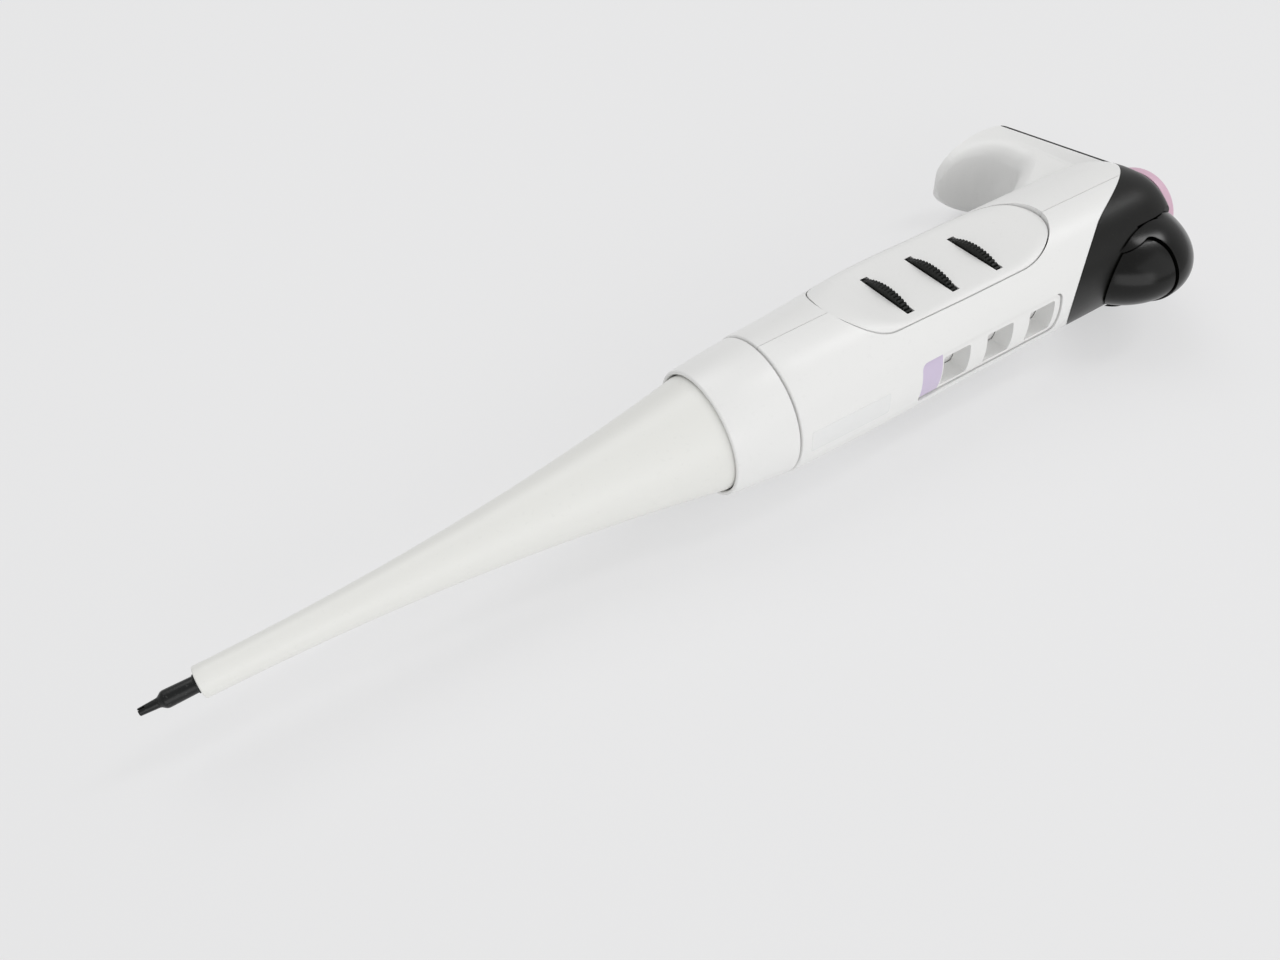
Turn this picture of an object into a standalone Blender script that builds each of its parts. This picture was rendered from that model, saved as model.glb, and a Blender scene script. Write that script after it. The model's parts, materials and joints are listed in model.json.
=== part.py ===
"""Manual single-channel micropipette with three thumb-wheel volume dials, lying on its side.

+X runs along the pipette from the nozzle to the plunger, +Z is up and the finger hook points to +Y.
The pieces are drawn about the nozzle axis with the nose at x = 0. A root empty then rolls the whole
pipette until its side and the hook's corner both touch the floor, and centres it on the origin.
"""

import math

import bmesh
import bpy
from mathutils import Vector

# Fits
CLEARANCE = 0.0003
RUNNING_GAP = 0.0004
SHELL_PARTING = 0.0003

# Nozzle shaft, a long hollow cone inside the sleeve
NOSE_RADIUS = 0.0007
NOSE_LENGTH = 0.0033
NOSE_DRAFT = 0.0002
NOSE_BORE = 0.0004
NOSE_SLOT_WIDTH = 0.0004
NOSE_SLOT_DEPTH = 0.0012
SHOULDER_LENGTH = 0.0009
BARREL_RADIUS = 0.00163
BARREL_DRAFT = 0.0001
BARREL_RING_RADIUS = 0.00175
BARREL_RING_LENGTH = 0.0010
HUB_STEP = 0.0033
HUB_LENGTH = 0.0033
ROD_BORE = 0.0026
ROD_BORE_DEPTH = 0.0365

# Piston and its seal
PISTON_RADIUS = 0.0007
PISTON_BORE = 0.0010
PISTON_LENGTH = 0.0800
PISTON_START = 0.0280
PISTON_BORE_START = 0.0142
PISTON_HEAD_RADIUS = 0.0022
PISTON_HEAD_LENGTH = 0.0030
SEAL_POCKET_RADIUS = 0.0023
SEAL_LENGTH = 0.0030
SEAL_RETAINER_LENGTH = 0.0032

# Tip ejector sleeve, whose radius grows with the square of the distance from its mouth
SLEEVE_MOUTH_X = 0.0099
SLEEVE_MOUTH_RADIUS = 0.0030
SLEEVE_REACH = 0.1006
SLEEVE_GUIDE_LENGTH = 0.0105
SLEEVE_WALL = 0.0009

# Collar nut between the sleeve and the handle
COLLAR_LENGTH = 0.0141
COLLAR_STEP = 0.0002
COLLAR_TAPER = 0.0014
COLLAR_WALL = 0.0008
COLLAR_EDGE = 0.0003
COLLAR_LIP_LENGTH = 0.0019
COLLAR_LIP_RADIUS = 0.0090

# Handle, round in front and swelling towards the back
HANDLE_RADIUS = 0.0152
BACK_SWELL = 0.0034
BACK_SWELL_LENGTH = 0.0450
HANDLE_BARREL = 0.0003
HANDLE_SIDES = 48
LOWER_CAVITY_WALL = 0.0048
DIAL_CAVITY_WALL = 0.0022
UPPER_CAVITY_WALL = 0.0028

# Volume dials: a toothed wheel and a digit drum each, turning on a fixed spindle tube
DIAL_COUNT = 3
DIAL_AXIS_Y = 0.0004
FIRST_DIAL_OFFSET = 0.0325
DIAL_PITCH = 0.0122
DIAL_SINK = 0.0013
DIAL_THICKNESS = 0.0014
DIAL_TEETH = 72
DIAL_TOOTH_DEPTH = 0.00035
DRUM_ROOM = 0.0005
DRUM_WALL = 0.0016
SPINDLE_WALL = 0.0007
SPINDLE_LIP = 0.0009
SPINDLE_LIP_LENGTH = 0.0010
SPINDLE_LOW_FLANGE = 0.0027
SPINDLE_TOP_FLANGE = 0.0015

# Dial panels, one on each side of the handle, gently crowned and tilted
PANEL_BELOW_DIALS = 0.0170
PANEL_ABOVE_DIALS = 0.0194
PANEL_HALF_ANGLE = 38.2
PANEL_LOW_END = 0.0133
PANEL_TOP_END = 0.0148
PANEL_LOW_SINK = 0.0029
PANEL_TOP_SINK = 0.0015
PANEL_THICKNESS = 0.0006

# Display frame in front, with one window beside each dial
DISPLAY_HALF_HEIGHT = 0.0048
DISPLAY_BELOW_DIALS = 0.0018
DISPLAY_ABOVE_DIALS = 0.0132
DISPLAY_CORNER = 0.0014
DISPLAY_RECESS = 0.0004
WINDOW_OFFSET = 0.0043
WINDOW_LENGTH = 0.0071
WINDOW_HALF_HEIGHT = 0.0035

# Top cap: a slanted seam with the shells, and a thin tail over the hook
CAP_ABOVE_SPINDLE = 0.0023
CAP_SLOPE = 1.62
CAP_HEIGHT = 0.0350
CAP_SEAM_GAP = 0.0005
CAP_SHOULDER_LENGTH = 0.0090
CAP_SHOULDER_INSET = 0.0028
CAP_RIM = 0.0009
TAIL_THICKNESS = 0.0010
TAIL_DROP = 0.110
SEAM_BEND_Y = -0.0081
SEAM_BEND_PULL = 0.0030
SEAM_SHOULDER_Y = 0.0003
SEAM_SETTLE_Y = 0.0090
SEAM_OVERRUN = 0.0100

# Finger hook
HOOK_ROOT_Y = 0.0050
HOOK_REACH = 0.0386
HOOK_FLARE = 0.0020
HOOK_ROOT_HALF_WIDTH = 0.0130
HOOK_LIP_HALF_WIDTH = 0.0110
HOOK_LIP_DROP = 0.0174
HOOK_LIP_THICKNESS = 0.0024
HOOK_TONGUE_RISE = 0.0014
HOOK_CORNER_ROUND = 0.0024
HOOK_ROOF_THICKNESS = 0.0080
HOOK_LAND_START = 0.0250
HOOK_LAND_LENGTH = 0.0040
HOOK_SADDLE_DROP = 0.0150

# Plunger
PLUNGER_Y = 0.0022
PLUNGER_TRAVEL = 0.0125
BUTTON_WALL = 0.0024
BUTTON_WEB = 0.0011
BUTTON_SKIRT = 0.0066
BUTTON_STAND = 0.0046
BUTTON_CAP_LAP = 0.0002
BUTTON_CAP_THICKNESS = 0.0026
BUTTON_CAP_ROUND = 0.0008
BUTTON_DISH = 0.0006
PLUNGER_ROD_RADIUS = 0.0015
STOP_LENGTH = 0.0030
STOP_WALL = 0.0016
GUIDE_WALL = 0.0009
GUIDE_FLOOR = 0.0015
GUIDE_LEDGE = 0.0017
GUIDE_LEDGE_LAP = 0.0013
RETURN_SPRING_RADIUS = 0.0052
RETURN_SPRING_WIRE = 0.00040
RETURN_SPRING_TURNS = 6

# Ejector button and its linkage
EJECTOR_TRAVEL = 0.0060
EJECTOR_ROD_ROOM = 0.0006
EJECTOR_ROD_RADIUS = 0.0012
LOBE_X_IN_CAP = 0.0250
LOBE_SINK = 0.0102
LOBE_FRONT = 0.0184
LOBE_RISE = 0.0149
LOBE_FALL = 0.0172
LOBE_HALF_WIDTH = 0.0109
NOTCH_WALL = 0.0005
LOBE_BLOCK_HALF_WIDTH = 0.0096
LOBE_BLOCK_IN_CAP = 0.0280
LOBE_SPLIT_IN_CAP = 0.0241
SKIRT_INSET = 0.0004
SKIRT_MARGIN = 0.0013
SKIRT_TAPER = 0.295
SKIRT_CORNER = 0.0035
ARM_THICKNESS = 0.0012
ARM_HALF_WIDTH = 0.0024
ARM_SOCKET = 0.0040
ARM_FOOT_IN_CAP = 0.0060
ARM_FOOT_LENGTH = 0.0030
ARM_FOOT_MARGIN = 0.0009
YOKE_LENGTH = 0.0030
YOKE_GAP = 0.0007
CLIP_RADIUS = 0.0024
CLIP_LENGTH = 0.0017
EJECTOR_SPRING_LENGTH = 0.0160
EJECTOR_SPRING_RADIUS = 0.0019
EJECTOR_SPRING_WIRE = 0.00028
EJECTOR_SPRING_TURNS = 7

# Facets
FINE_SIDES = 40
ROUND_SIDES = 28
SMALL_SIDES = 14
SHAFT_SIDES = 20
LOBE_SIDES = 28
LOBE_RINGS = 18
BEND_STEPS = 5
END_STEPS = 14
CURL_POINTS = 8
SLEEVE_STATIONS = 8
SHAFT_STATIONS = 4
HANDLE_STATIONS = 6
SHOULDER_STATIONS = 4
FACE_STATIONS = 10
QUARTER_ROUND = 0.55

# Radii and depths, each worked out from the handle's radius and the ones before it
HUB_RADIUS = HANDLE_RADIUS - HUB_STEP
COLLAR_TOP_RADIUS = HANDLE_RADIUS - COLLAR_STEP
COLLAR_LOW_RADIUS = COLLAR_TOP_RADIUS - COLLAR_TAPER
SLEEVE_TOP_RADIUS = COLLAR_LOW_RADIUS - COLLAR_WALL - RUNNING_GAP
LOWER_CAVITY_RADIUS = HANDLE_RADIUS - LOWER_CAVITY_WALL
DIAL_CAVITY_RADIUS = HANDLE_RADIUS - DIAL_CAVITY_WALL
UPPER_CAVITY_RADIUS = HANDLE_RADIUS - UPPER_CAVITY_WALL
DIAL_RADIUS = HANDLE_RADIUS - DIAL_SINK
PANEL_HALF_WIDTH = HANDLE_RADIUS * math.sin(math.radians(PANEL_HALF_ANGLE))
PANEL_EDGE = HANDLE_RADIUS * math.cos(math.radians(PANEL_HALF_ANGLE))
PANEL_BACK = PANEL_EDGE - PANEL_THICKNESS
PANEL_LOW_CROWN = HANDLE_RADIUS - PANEL_LOW_SINK
PANEL_TOP_CROWN = HANDLE_RADIUS - PANEL_TOP_SINK
DRUM_RADIUS = PANEL_BACK - DRUM_ROOM
SPINDLE_RADIUS = DRUM_RADIUS - DRUM_WALL - CLEARANCE
SPINDLE_BORE = SPINDLE_RADIUS - SPINDLE_WALL
SPINDLE_LIP_RADIUS = SPINDLE_RADIUS + SPINDLE_LIP
DISPLAY_BACK_Y = DIAL_AXIS_Y - DRUM_RADIUS - RUNNING_GAP - CLEARANCE
BUTTON_RADIUS = HANDLE_RADIUS - CAP_SHOULDER_INSET - CAP_RIM - CLEARANCE - GUIDE_WALL - RUNNING_GAP
BUTTON_CAP_RADIUS = BUTTON_RADIUS + BUTTON_CAP_LAP
GUIDE_BORE = BUTTON_RADIUS + RUNNING_GAP
GUIDE_WELL_RADIUS = GUIDE_BORE + GUIDE_WALL + CLEARANCE
GUIDE_LEDGE_BORE = GUIDE_BORE - GUIDE_LEDGE_LAP
EJECTOR_ROD_Y = DIAL_AXIS_Y - SPINDLE_BORE + EJECTOR_ROD_ROOM + EJECTOR_ROD_RADIUS
SHAFT_ROOT_RADIUS = -EJECTOR_ROD_Y - EJECTOR_ROD_RADIUS - CLEARANCE
YOKE_BORE = SHAFT_ROOT_RADIUS + YOKE_GAP
STOP_RADIUS = PLUNGER_ROD_RADIUS + CLEARANCE + STOP_WALL
LOBE_Y = LOBE_SINK - HANDLE_RADIUS
LOBE_BACK_Y = PLUNGER_Y - GUIDE_WELL_RADIUS - NOTCH_WALL - RUNNING_GAP
ARM_Y = DIAL_AXIS_Y - math.sqrt((UPPER_CAVITY_RADIUS - CLEARANCE) ** 2 - ARM_HALF_WIDTH ** 2)

# Stations along the axis, each worked out from the ones before it
COLLAR_X = SLEEVE_MOUTH_X + SLEEVE_REACH
HANDLE_X = COLLAR_X + COLLAR_LENGTH + CLEARANCE
HUB_X = HANDLE_X + CLEARANCE
HUB_TOP = HUB_X + HUB_LENGTH
HUB_SEAT = HUB_TOP + CLEARANCE
FIRST_DIAL_X = HANDLE_X + FIRST_DIAL_OFFSET
LAST_DIAL_X = FIRST_DIAL_X + (DIAL_COUNT - 1) * DIAL_PITCH
SPINDLE_X = FIRST_DIAL_X - RUNNING_GAP - SPINDLE_LOW_FLANGE
SPINDLE_TOP_FLANGE_X = LAST_DIAL_X + DIAL_PITCH + RUNNING_GAP
SPINDLE_TOP = SPINDLE_TOP_FLANGE_X + SPINDLE_TOP_FLANGE
CAP_X = SPINDLE_TOP + CAP_ABOVE_SPINDLE
CAP_TOP = CAP_X + CAP_HEIGHT
BUTTON_TOP = CAP_TOP + BUTTON_STAND
BUTTON_BOTTOM = BUTTON_TOP - BUTTON_SKIRT
GUIDE_X = BUTTON_BOTTOM - PLUNGER_TRAVEL - RUNNING_GAP - GUIDE_FLOOR - CLEARANCE
GUIDE_SEAT = GUIDE_X - CLEARANCE
LEDGE_X = GUIDE_SEAT - GUIDE_LEDGE
ROD_TOP = BUTTON_TOP - BUTTON_WEB - CLEARANCE
ROD_BOTTOM = PISTON_START + PISTON_LENGTH + PISTON_HEAD_LENGTH + CLEARANCE
STOP_X = HUB_TOP + PLUNGER_TRAVEL + RUNNING_GAP
PANEL_X = FIRST_DIAL_X - PANEL_BELOW_DIALS
PANEL_TOP = LAST_DIAL_X + PANEL_ABOVE_DIALS
DISPLAY_X = FIRST_DIAL_X - DISPLAY_BELOW_DIALS
DISPLAY_TOP = LAST_DIAL_X + DISPLAY_ABOVE_DIALS
SLEEVE_TOP = COLLAR_X + SLEEVE_GUIDE_LENGTH
YOKE_TOP = SLEEVE_TOP - CLEARANCE
YOKE_X = YOKE_TOP - YOKE_LENGTH
EJECTOR_SPRING_X = HUB_TOP + CLEARANCE
CLIP_X = EJECTOR_SPRING_X + EJECTOR_SPRING_LENGTH + CLEARANCE
LOBE_X = CAP_X + LOBE_X_IN_CAP
LOBE_SPLIT = CAP_X + LOBE_SPLIT_IN_CAP
LOBE_BLOCK_X = CAP_X + LOBE_BLOCK_IN_CAP
ARM_FOOT_X = CAP_X + ARM_FOOT_IN_CAP
ARM_TOP = LOBE_BLOCK_X + ARM_SOCKET
EJECTOR_ROD_TOP = ARM_FOOT_X - CLEARANCE
EJECTOR_ROD_BOTTOM = YOKE_TOP + CLEARANCE
NOTCH_X = LOBE_BLOCK_X - EJECTOR_TRAVEL - RUNNING_GAP
FAR = 0.060

WHITE = ("moulded_white", (0.84, 0.84, 0.83), 0.38, 0.0)
IVORY = ("sleeve_white", (0.82, 0.82, 0.79), 0.42, 0.0)
CHARCOAL = ("cap_charcoal", (0.030, 0.030, 0.028), 0.42, 0.0)
GLOSS_BLACK = ("ejector_black", (0.018, 0.018, 0.017), 0.22, 0.0)
NOZZLE_BLACK = ("nozzle_charcoal", (0.018, 0.020, 0.019), 0.45, 0.0)
DIAL_BLACK = ("dial_black", (0.014, 0.014, 0.014), 0.50, 0.0)
PINK = ("plunger_pink", (0.72, 0.45, 0.58), 0.40, 0.0)
STEEL = ("bright_steel", (0.62, 0.62, 0.62), 0.28, 1.0)
RUBBER = ("seal_rubber", (0.03, 0.03, 0.03), 0.80, 0.0)

for leftover in list(bpy.data.objects):
    bpy.data.objects.remove(leftover, do_unlink=True)

PARTS = bpy.data.collections.new("micropipette")
CUTTERS = bpy.data.collections.new("cutters")
bpy.context.scene.collection.children.link(PARTS)
bpy.context.scene.collection.children.link(CUTTERS)


def material(finish):
    """The Principled material of one finish, made once."""
    name, colour, roughness, metallic = finish
    found = bpy.data.materials.get(name)
    if found:
        return found
    made = bpy.data.materials.new(name)
    made.use_nodes = True
    shader = made.node_tree.nodes["Principled BSDF"]
    shader.inputs["Base Color"].default_value = (*colour, 1.0)
    shader.inputs["Roughness"].default_value = roughness
    shader.inputs["Metallic"].default_value = metallic
    made.diffuse_color = (*colour, 1.0)
    return made


def empty(name, place, parent=None):
    """An empty on a joint's axis, or the root of the whole pipette."""
    holder = bpy.data.objects.new(name, None)
    holder.location = place
    holder.parent = parent
    PARTS.objects.link(holder)
    return holder


ROOT = empty("pipette_root", (0.0, 0.0, 0.0))
PLUNGER = empty("plunger_axis", (CAP_TOP, PLUNGER_Y, 0.0), ROOT)
EJECTOR = empty("ejector_axis", (CAP_TOP, EJECTOR_ROD_Y, 0.0), ROOT)
DIALS = [
    empty(f"dial_axis_{number + 1}", (FIRST_DIAL_X + number * DIAL_PITCH, DIAL_AXIS_Y, 0.0), ROOT)
    for number in range(DIAL_COUNT)
]


def place(obj, carrier, finish, axis_y=0.0):
    """Hang an object on its empty; a cutter has no finish and stays out of the model."""
    carrier_place = carrier.location if carrier is not ROOT else Vector()
    obj.parent = carrier
    obj.location = Vector((0.0, axis_y, 0.0)) - carrier_place
    if finish is None:
        CUTTERS.objects.link(obj)
        obj.hide_render = True
        obj.display_type = "WIRE"
    else:
        PARTS.objects.link(obj)
        obj.data.materials.append(material(finish))
    return obj


def mesh_piece(name, bm, carrier=ROOT, finish=None, axis_y=0.0):
    """Turn a closed bmesh into an object whose faces point outwards."""
    bmesh.ops.recalc_face_normals(bm, faces=bm.faces)
    mesh = bpy.data.meshes.new(name)
    bm.to_mesh(mesh)
    bm.free()
    mesh.shade_smooth()
    mesh.set_sharp_from_angle(angle=math.radians(35.0))
    return place(bpy.data.objects.new(name, mesh), carrier, finish, axis_y)


def turned(name, profile, carrier=ROOT, finish=None, axis_y=0.0, sides=ROUND_SIDES):
    """Spin a closed (x, radius) outline about the X axis with a Screw modifier."""
    mesh = bpy.data.meshes.new(name)
    count = len(profile)
    pairs = [(index, (index + 1) % count) for index in range(count)]
    edges = [(a, b) for a, b in pairs if profile[a][1] > 0.0 or profile[b][1] > 0.0]
    mesh.from_pydata([(x, radius, 0.0) for x, radius in profile], edges, [])
    obj = place(bpy.data.objects.new(name, mesh), carrier, finish, axis_y)
    screw = obj.modifiers.new("turn", "SCREW")
    screw.axis = "X"
    screw.steps = sides
    screw.render_steps = sides
    screw.use_merge_vertices = True
    screw.merge_threshold = 0.00001
    screw.use_smooth_shade = True
    screw.use_normal_flip = signed_area(profile) < 0.0
    return obj


def signed_area(outline):
    """Twice the area of an outline, positive when it runs anticlockwise."""
    following = outline[1:] + outline[:1]
    return sum(a[0] * b[1] - b[0] * a[1] for a, b in zip(outline, following))


def cylinder(x_low, x_high, radius):
    """The turned outline of a plain cylinder between two stations."""
    return [(x_low, 0.0), (x_low, radius), (x_high, radius), (x_high, 0.0)]


def ring(x_low, x_high, bore, radius):
    """The turned outline of a plain ring between two stations."""
    return [(x_low, bore), (x_low, radius), (x_high, radius), (x_high, bore)]


def prism(name, outline, sweep, carrier=ROOT, finish=None, axis_y=0.0):
    """A flat outline swept straight along a vector."""
    bm = bmesh.new()
    face = bm.faces.new([bm.verts.new(point) for point in outline])
    swept = bmesh.ops.extrude_face_region(bm, geom=[face])["geom"]
    moved = [item for item in swept if isinstance(item, bmesh.types.BMVert)]
    bmesh.ops.translate(bm, verts=moved, vec=sweep)
    return mesh_piece(name, bm, carrier, finish, axis_y)


def side_prism(name, outline, half_width, carrier=ROOT, finish=None):
    """An (x, y) outline swept through the pipette from -z to +z."""
    points = [(x, y, -half_width) for x, y in outline]
    return prism(name, points, (0.0, 0.0, 2.0 * half_width), carrier, finish)


def front_prism(name, outline, y_low, y_high, carrier=ROOT, finish=None):
    """An (x, z) outline swept from one depth to another."""
    points = [(x, y_low, z) for x, z in outline]
    return prism(name, points, (0.0, y_high - y_low, 0.0), carrier, finish)


def box(name, low, high):
    """A box cutter between two corners."""
    bm = bmesh.new()
    bmesh.ops.create_cube(bm, size=1.0)
    size = [high[axis] - low[axis] for axis in range(3)]
    middle = [(high[axis] + low[axis]) / 2.0 for axis in range(3)]
    bmesh.ops.scale(bm, vec=size, verts=bm.verts)
    bmesh.ops.translate(bm, vec=middle, verts=bm.verts)
    return mesh_piece(name, bm)


def shape(obj, tool, operation="DIFFERENCE"):
    """Add an exact Boolean with a tool to an object."""
    modifier = obj.modifiers.new(f"{operation.lower()}_{tool.name}", "BOOLEAN")
    modifier.operation = operation
    modifier.solver = "EXACT"
    modifier.object = tool


def bezier(start, pull_out, pull_in, end, count):
    """Points along a cubic curve, without its last one."""
    points = []
    for index in range(count):
        t = index / count
        weights = ((1 - t) ** 3, 3 * t * (1 - t) ** 2, 3 * t * t * (1 - t), t ** 3)
        controls = (start, pull_out, pull_in, end)
        points.append(tuple(sum(w * c[axis] for w, c in zip(weights, controls)) for axis in (0, 1)))
    return points


def bend(start, corner, end, count=BEND_STEPS):
    """A rounded corner, leaving the start towards the corner and coming in to the end from it."""
    pulls = [tuple(a + QUARTER_ROUND * (c - a) for a, c in zip(point, corner)) for point in (start, end)]
    return bezier(start, pulls[0], pulls[1], end, count)


def loft(name, sections, finish=None):
    """A solid skinned over closed sections that have equally many points."""
    bm = bmesh.new()
    loops = []
    for section in sections:
        verts = [bm.verts.new(point) for point in section]
        loops.append([bm.edges.new(pair) for pair in zip(verts, verts[1:] + verts[:1])])
    for lower, upper in zip(loops, loops[1:]):
        bmesh.ops.bridge_loops(bm, edges=lower + upper)
    bmesh.ops.contextual_create(bm, geom=loops[0])
    bmesh.ops.contextual_create(bm, geom=loops[-1])
    return mesh_piece(name, bm, ROOT, finish)


def arc(centre, radii, from_deg, to_deg, count):
    """Points along an elliptic arc, both ends included."""
    turns = [math.radians(from_deg + (to_deg - from_deg) * i / count) for i in range(count + 1)]
    return [(centre[0] + radii[0] * math.cos(a), centre[1] + radii[1] * math.sin(a)) for a in turns]


def smooth_step(t):
    """A soft rise from 0 to 1."""
    t = min(max(t, 0.0), 1.0)
    return t * t * (3.0 - 2.0 * t)


def seam_x(y):
    """Where the slanted cap seam stands at a depth y."""
    return CAP_X + CAP_SLOPE * (y + HANDLE_RADIUS)


def tail_x(y):
    """Where the seam stands over the hook, which drops gently towards its lip."""
    return CAP_TOP - TAIL_THICKNESS - TAIL_DROP * (y - PLUNGER_Y)


def handle_ring(x, inset=0.0):
    """One section of the handle: round in front, an ellipse behind, a little barrelled low down."""
    share = min(max((x - HANDLE_X) / BACK_SWELL_LENGTH, 0.0), 1.0)
    front = HANDLE_RADIUS + HANDLE_BARREL * math.sin(math.pi * share) - inset
    back = front + BACK_SWELL * smooth_step(share)
    points = []
    for side in range(HANDLE_SIDES):
        angle = 2.0 * math.pi * side / HANDLE_SIDES
        depth = back if math.cos(angle) > 0.0 else front
        points.append((x, depth * math.cos(angle), front * math.sin(angle)))
    return points


def handle_form(name, finish=None):
    """The whole outside of the handle, from the collar up to the rounded shoulder of the cap."""
    swell = [HANDLE_X + BACK_SWELL_LENGTH * index / HANDLE_STATIONS for index in range(HANDLE_STATIONS + 1)]
    sections = [handle_ring(x) for x in swell]
    shoulder = arc((CAP_TOP - CAP_SHOULDER_LENGTH, CAP_SHOULDER_INSET),
                   (CAP_SHOULDER_LENGTH, -CAP_SHOULDER_INSET), 90.0, 0.0, SHOULDER_STATIONS)
    sections += [handle_ring(x, inset) for x, inset in shoulder]
    return loft(name, sections, finish)


def hook_form(name):
    """The finger hook as an arch drawn from the side, trimmed to a tapering tongue seen from behind."""
    corner_x = tail_x(HOOK_REACH) + TAIL_THICKNESS
    tip_x = corner_x - TAIL_THICKNESS - HOOK_LIP_DROP
    tip_y = HOOK_REACH + HOOK_FLARE
    tip_round = 0.5 * HOOK_LIP_THICKNESS
    inner_y = tip_y - HOOK_LIP_THICKNESS
    roof_x = tail_x(HOOK_LAND_START) - HOOK_ROOF_THICKNESS
    land_end = HOOK_LAND_START + HOOK_LAND_LENGTH
    back = HANDLE_RADIUS + BACK_SWELL
    saddle_x = roof_x - HOOK_SADDLE_DROP
    round_y = HOOK_REACH - HOOK_CORNER_ROUND
    outline = [(tail_x(HOOK_ROOT_Y) + TAIL_THICKNESS, HOOK_ROOT_Y)]
    outline += bend((tail_x(round_y) + TAIL_THICKNESS, round_y), (corner_x, HOOK_REACH),
                    (corner_x - HOOK_CORNER_ROUND, HOOK_REACH))
    outline += bend((corner_x - HOOK_CORNER_ROUND, HOOK_REACH), (tip_x + 0.5 * HOOK_LIP_DROP, tip_y),
                    (tip_x + tip_round, tip_y))
    outline += bend((tip_x + tip_round, tip_y), (tip_x, tip_y), (tip_x, tip_y - tip_round))
    outline += bend((tip_x, tip_y - tip_round), (tip_x, inner_y), (tip_x + tip_round, inner_y))
    outline += bend((tip_x + tip_round, inner_y), (roof_x, inner_y - HOOK_FLARE), (roof_x, land_end),
                    2 * BEND_STEPS)
    outline += [(roof_x, land_end)]
    outline += bend((roof_x, HOOK_LAND_START), (roof_x, back), (saddle_x, back), 2 * BEND_STEPS)
    outline += [(saddle_x, back), (saddle_x, HOOK_ROOT_Y)]
    hook = side_prism(name, outline, HOOK_ROOT_HALF_WIDTH + CLEARANCE)
    tongue_drop = HOOK_LIP_DROP + HOOK_TONGUE_RISE
    tongues = []
    for y, half in ((0.0, HOOK_ROOT_HALF_WIDTH), (HOOK_REACH, HOOK_LIP_HALF_WIDTH)):
        curve = arc((tip_x + tongue_drop, 0.0), (tongue_drop, half), 90.0, 270.0, 2 * END_STEPS)
        curve = [(CAP_TOP + FAR, half)] + curve + [(CAP_TOP + FAR, -half)]
        tongues.append([(x, y, z) for x, z in curve])
    tongues.append([(x, y + FAR, z) for x, y, z in tongues[-1]])
    shape(hook, loft(f"{name}_tongue", tongues), "INTERSECT")
    return hook


def seam_region(name, shift):
    """Everything above the cap's seam: a slant in front, an S bend, then the line over the hook."""
    front_y = -HANDLE_RADIUS - SEAM_OVERRUN
    back_y = HOOK_REACH + HOOK_FLARE + SEAM_OVERRUN
    pull_y = SEAM_BEND_Y + SEAM_BEND_PULL
    settled = (tail_x(SEAM_SETTLE_Y), SEAM_SETTLE_Y)
    outline = [(CAP_TOP + FAR, front_y), (seam_x(front_y), front_y)]
    outline += bezier((seam_x(SEAM_BEND_Y), SEAM_BEND_Y), (seam_x(pull_y), pull_y),
                      (tail_x(SEAM_SHOULDER_Y), SEAM_SHOULDER_Y), settled, 2 * BEND_STEPS)
    outline += [settled, (tail_x(back_y), back_y), (CAP_TOP + FAR, back_y)]
    return side_prism(name, [(x + shift, y) for x, y in outline], FAR)


def panel_outline(margin):
    """The dial panel's outline, with a half ellipse at each end."""
    half = PANEL_HALF_WIDTH + margin
    low = arc((PANEL_X + PANEL_LOW_END, 0.0), (PANEL_LOW_END + margin, half), 270.0, 90.0, END_STEPS)
    high = arc((PANEL_TOP - PANEL_TOP_END, 0.0), (PANEL_TOP_END + margin, half), 90.0, -90.0, END_STEPS)
    return low + high


def panel_prism(name, margin, depth, side, finish=None):
    """The panel's outline swept outwards from a depth on one side of the handle."""
    points = [(x, y, side * depth) for x, y in panel_outline(margin)]
    return prism(name, points, (0.0, 0.0, side * FAR), ROOT, finish)


def panel_face(name, side):
    """Everything below the panel's face, which is crowned across and rises towards the plunger."""
    sections = []
    for x, crown in ((PANEL_X, PANEL_LOW_CROWN), (PANEL_TOP, PANEL_TOP_CROWN)):
        reach = PANEL_HALF_WIDTH + CLEARANCE
        across = [reach * (2.0 * index / FACE_STATIONS - 1.0) for index in range(FACE_STATIONS + 1)]
        face = [(x, y, side * (crown - (crown - PANEL_EDGE) * (y / PANEL_HALF_WIDTH) ** 2)) for y in across]
        sections.append(face + [(x, reach, 0.0), (x, -reach, 0.0)])
    sections[0] = [(x - CLEARANCE, y, z) for x, y, z in sections[0]]
    sections[1] = [(x + CLEARANCE, y, z) for x, y, z in sections[1]]
    return loft(name, sections)


def display_outline(margin):
    """The display frame's outline, with rounded ends."""
    low_x = DISPLAY_X - margin
    high_x = DISPLAY_TOP + margin
    half = DISPLAY_HALF_HEIGHT + margin
    corner = DISPLAY_CORNER
    corners = ((high_x - corner, half - corner, 0.0), (low_x + corner, half - corner, 90.0),
               (low_x + corner, corner - half, 180.0), (high_x - corner, corner - half, 270.0))
    outline = []
    for x, z, start in corners:
        outline += arc((x, z), (corner, corner), start, start + 90.0, 4)
    return outline


def dial_starts():
    """The nozzle-side face of each dial wheel."""
    return [FIRST_DIAL_X + number * DIAL_PITCH for number in range(DIAL_COUNT)]


def dial_slots(name, radius):
    """One cutter that clears the dial wheels: a ring around each of them on a common core."""
    profile = [(SPINDLE_X, 0.0), (SPINDLE_X, DRUM_RADIUS + RUNNING_GAP)]
    for x in dial_starts():
        low = x - RUNNING_GAP
        high = x + DIAL_THICKNESS + RUNNING_GAP
        core = DRUM_RADIUS + RUNNING_GAP
        profile += [(low, core), (low, radius), (high, radius), (high, core)]
    profile += [(SPINDLE_TOP_FLANGE_X, DRUM_RADIUS + RUNNING_GAP), (SPINDLE_TOP_FLANGE_X, 0.0)]
    return turned(name, profile, axis_y=DIAL_AXIS_Y, sides=FINE_SIDES)


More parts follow.
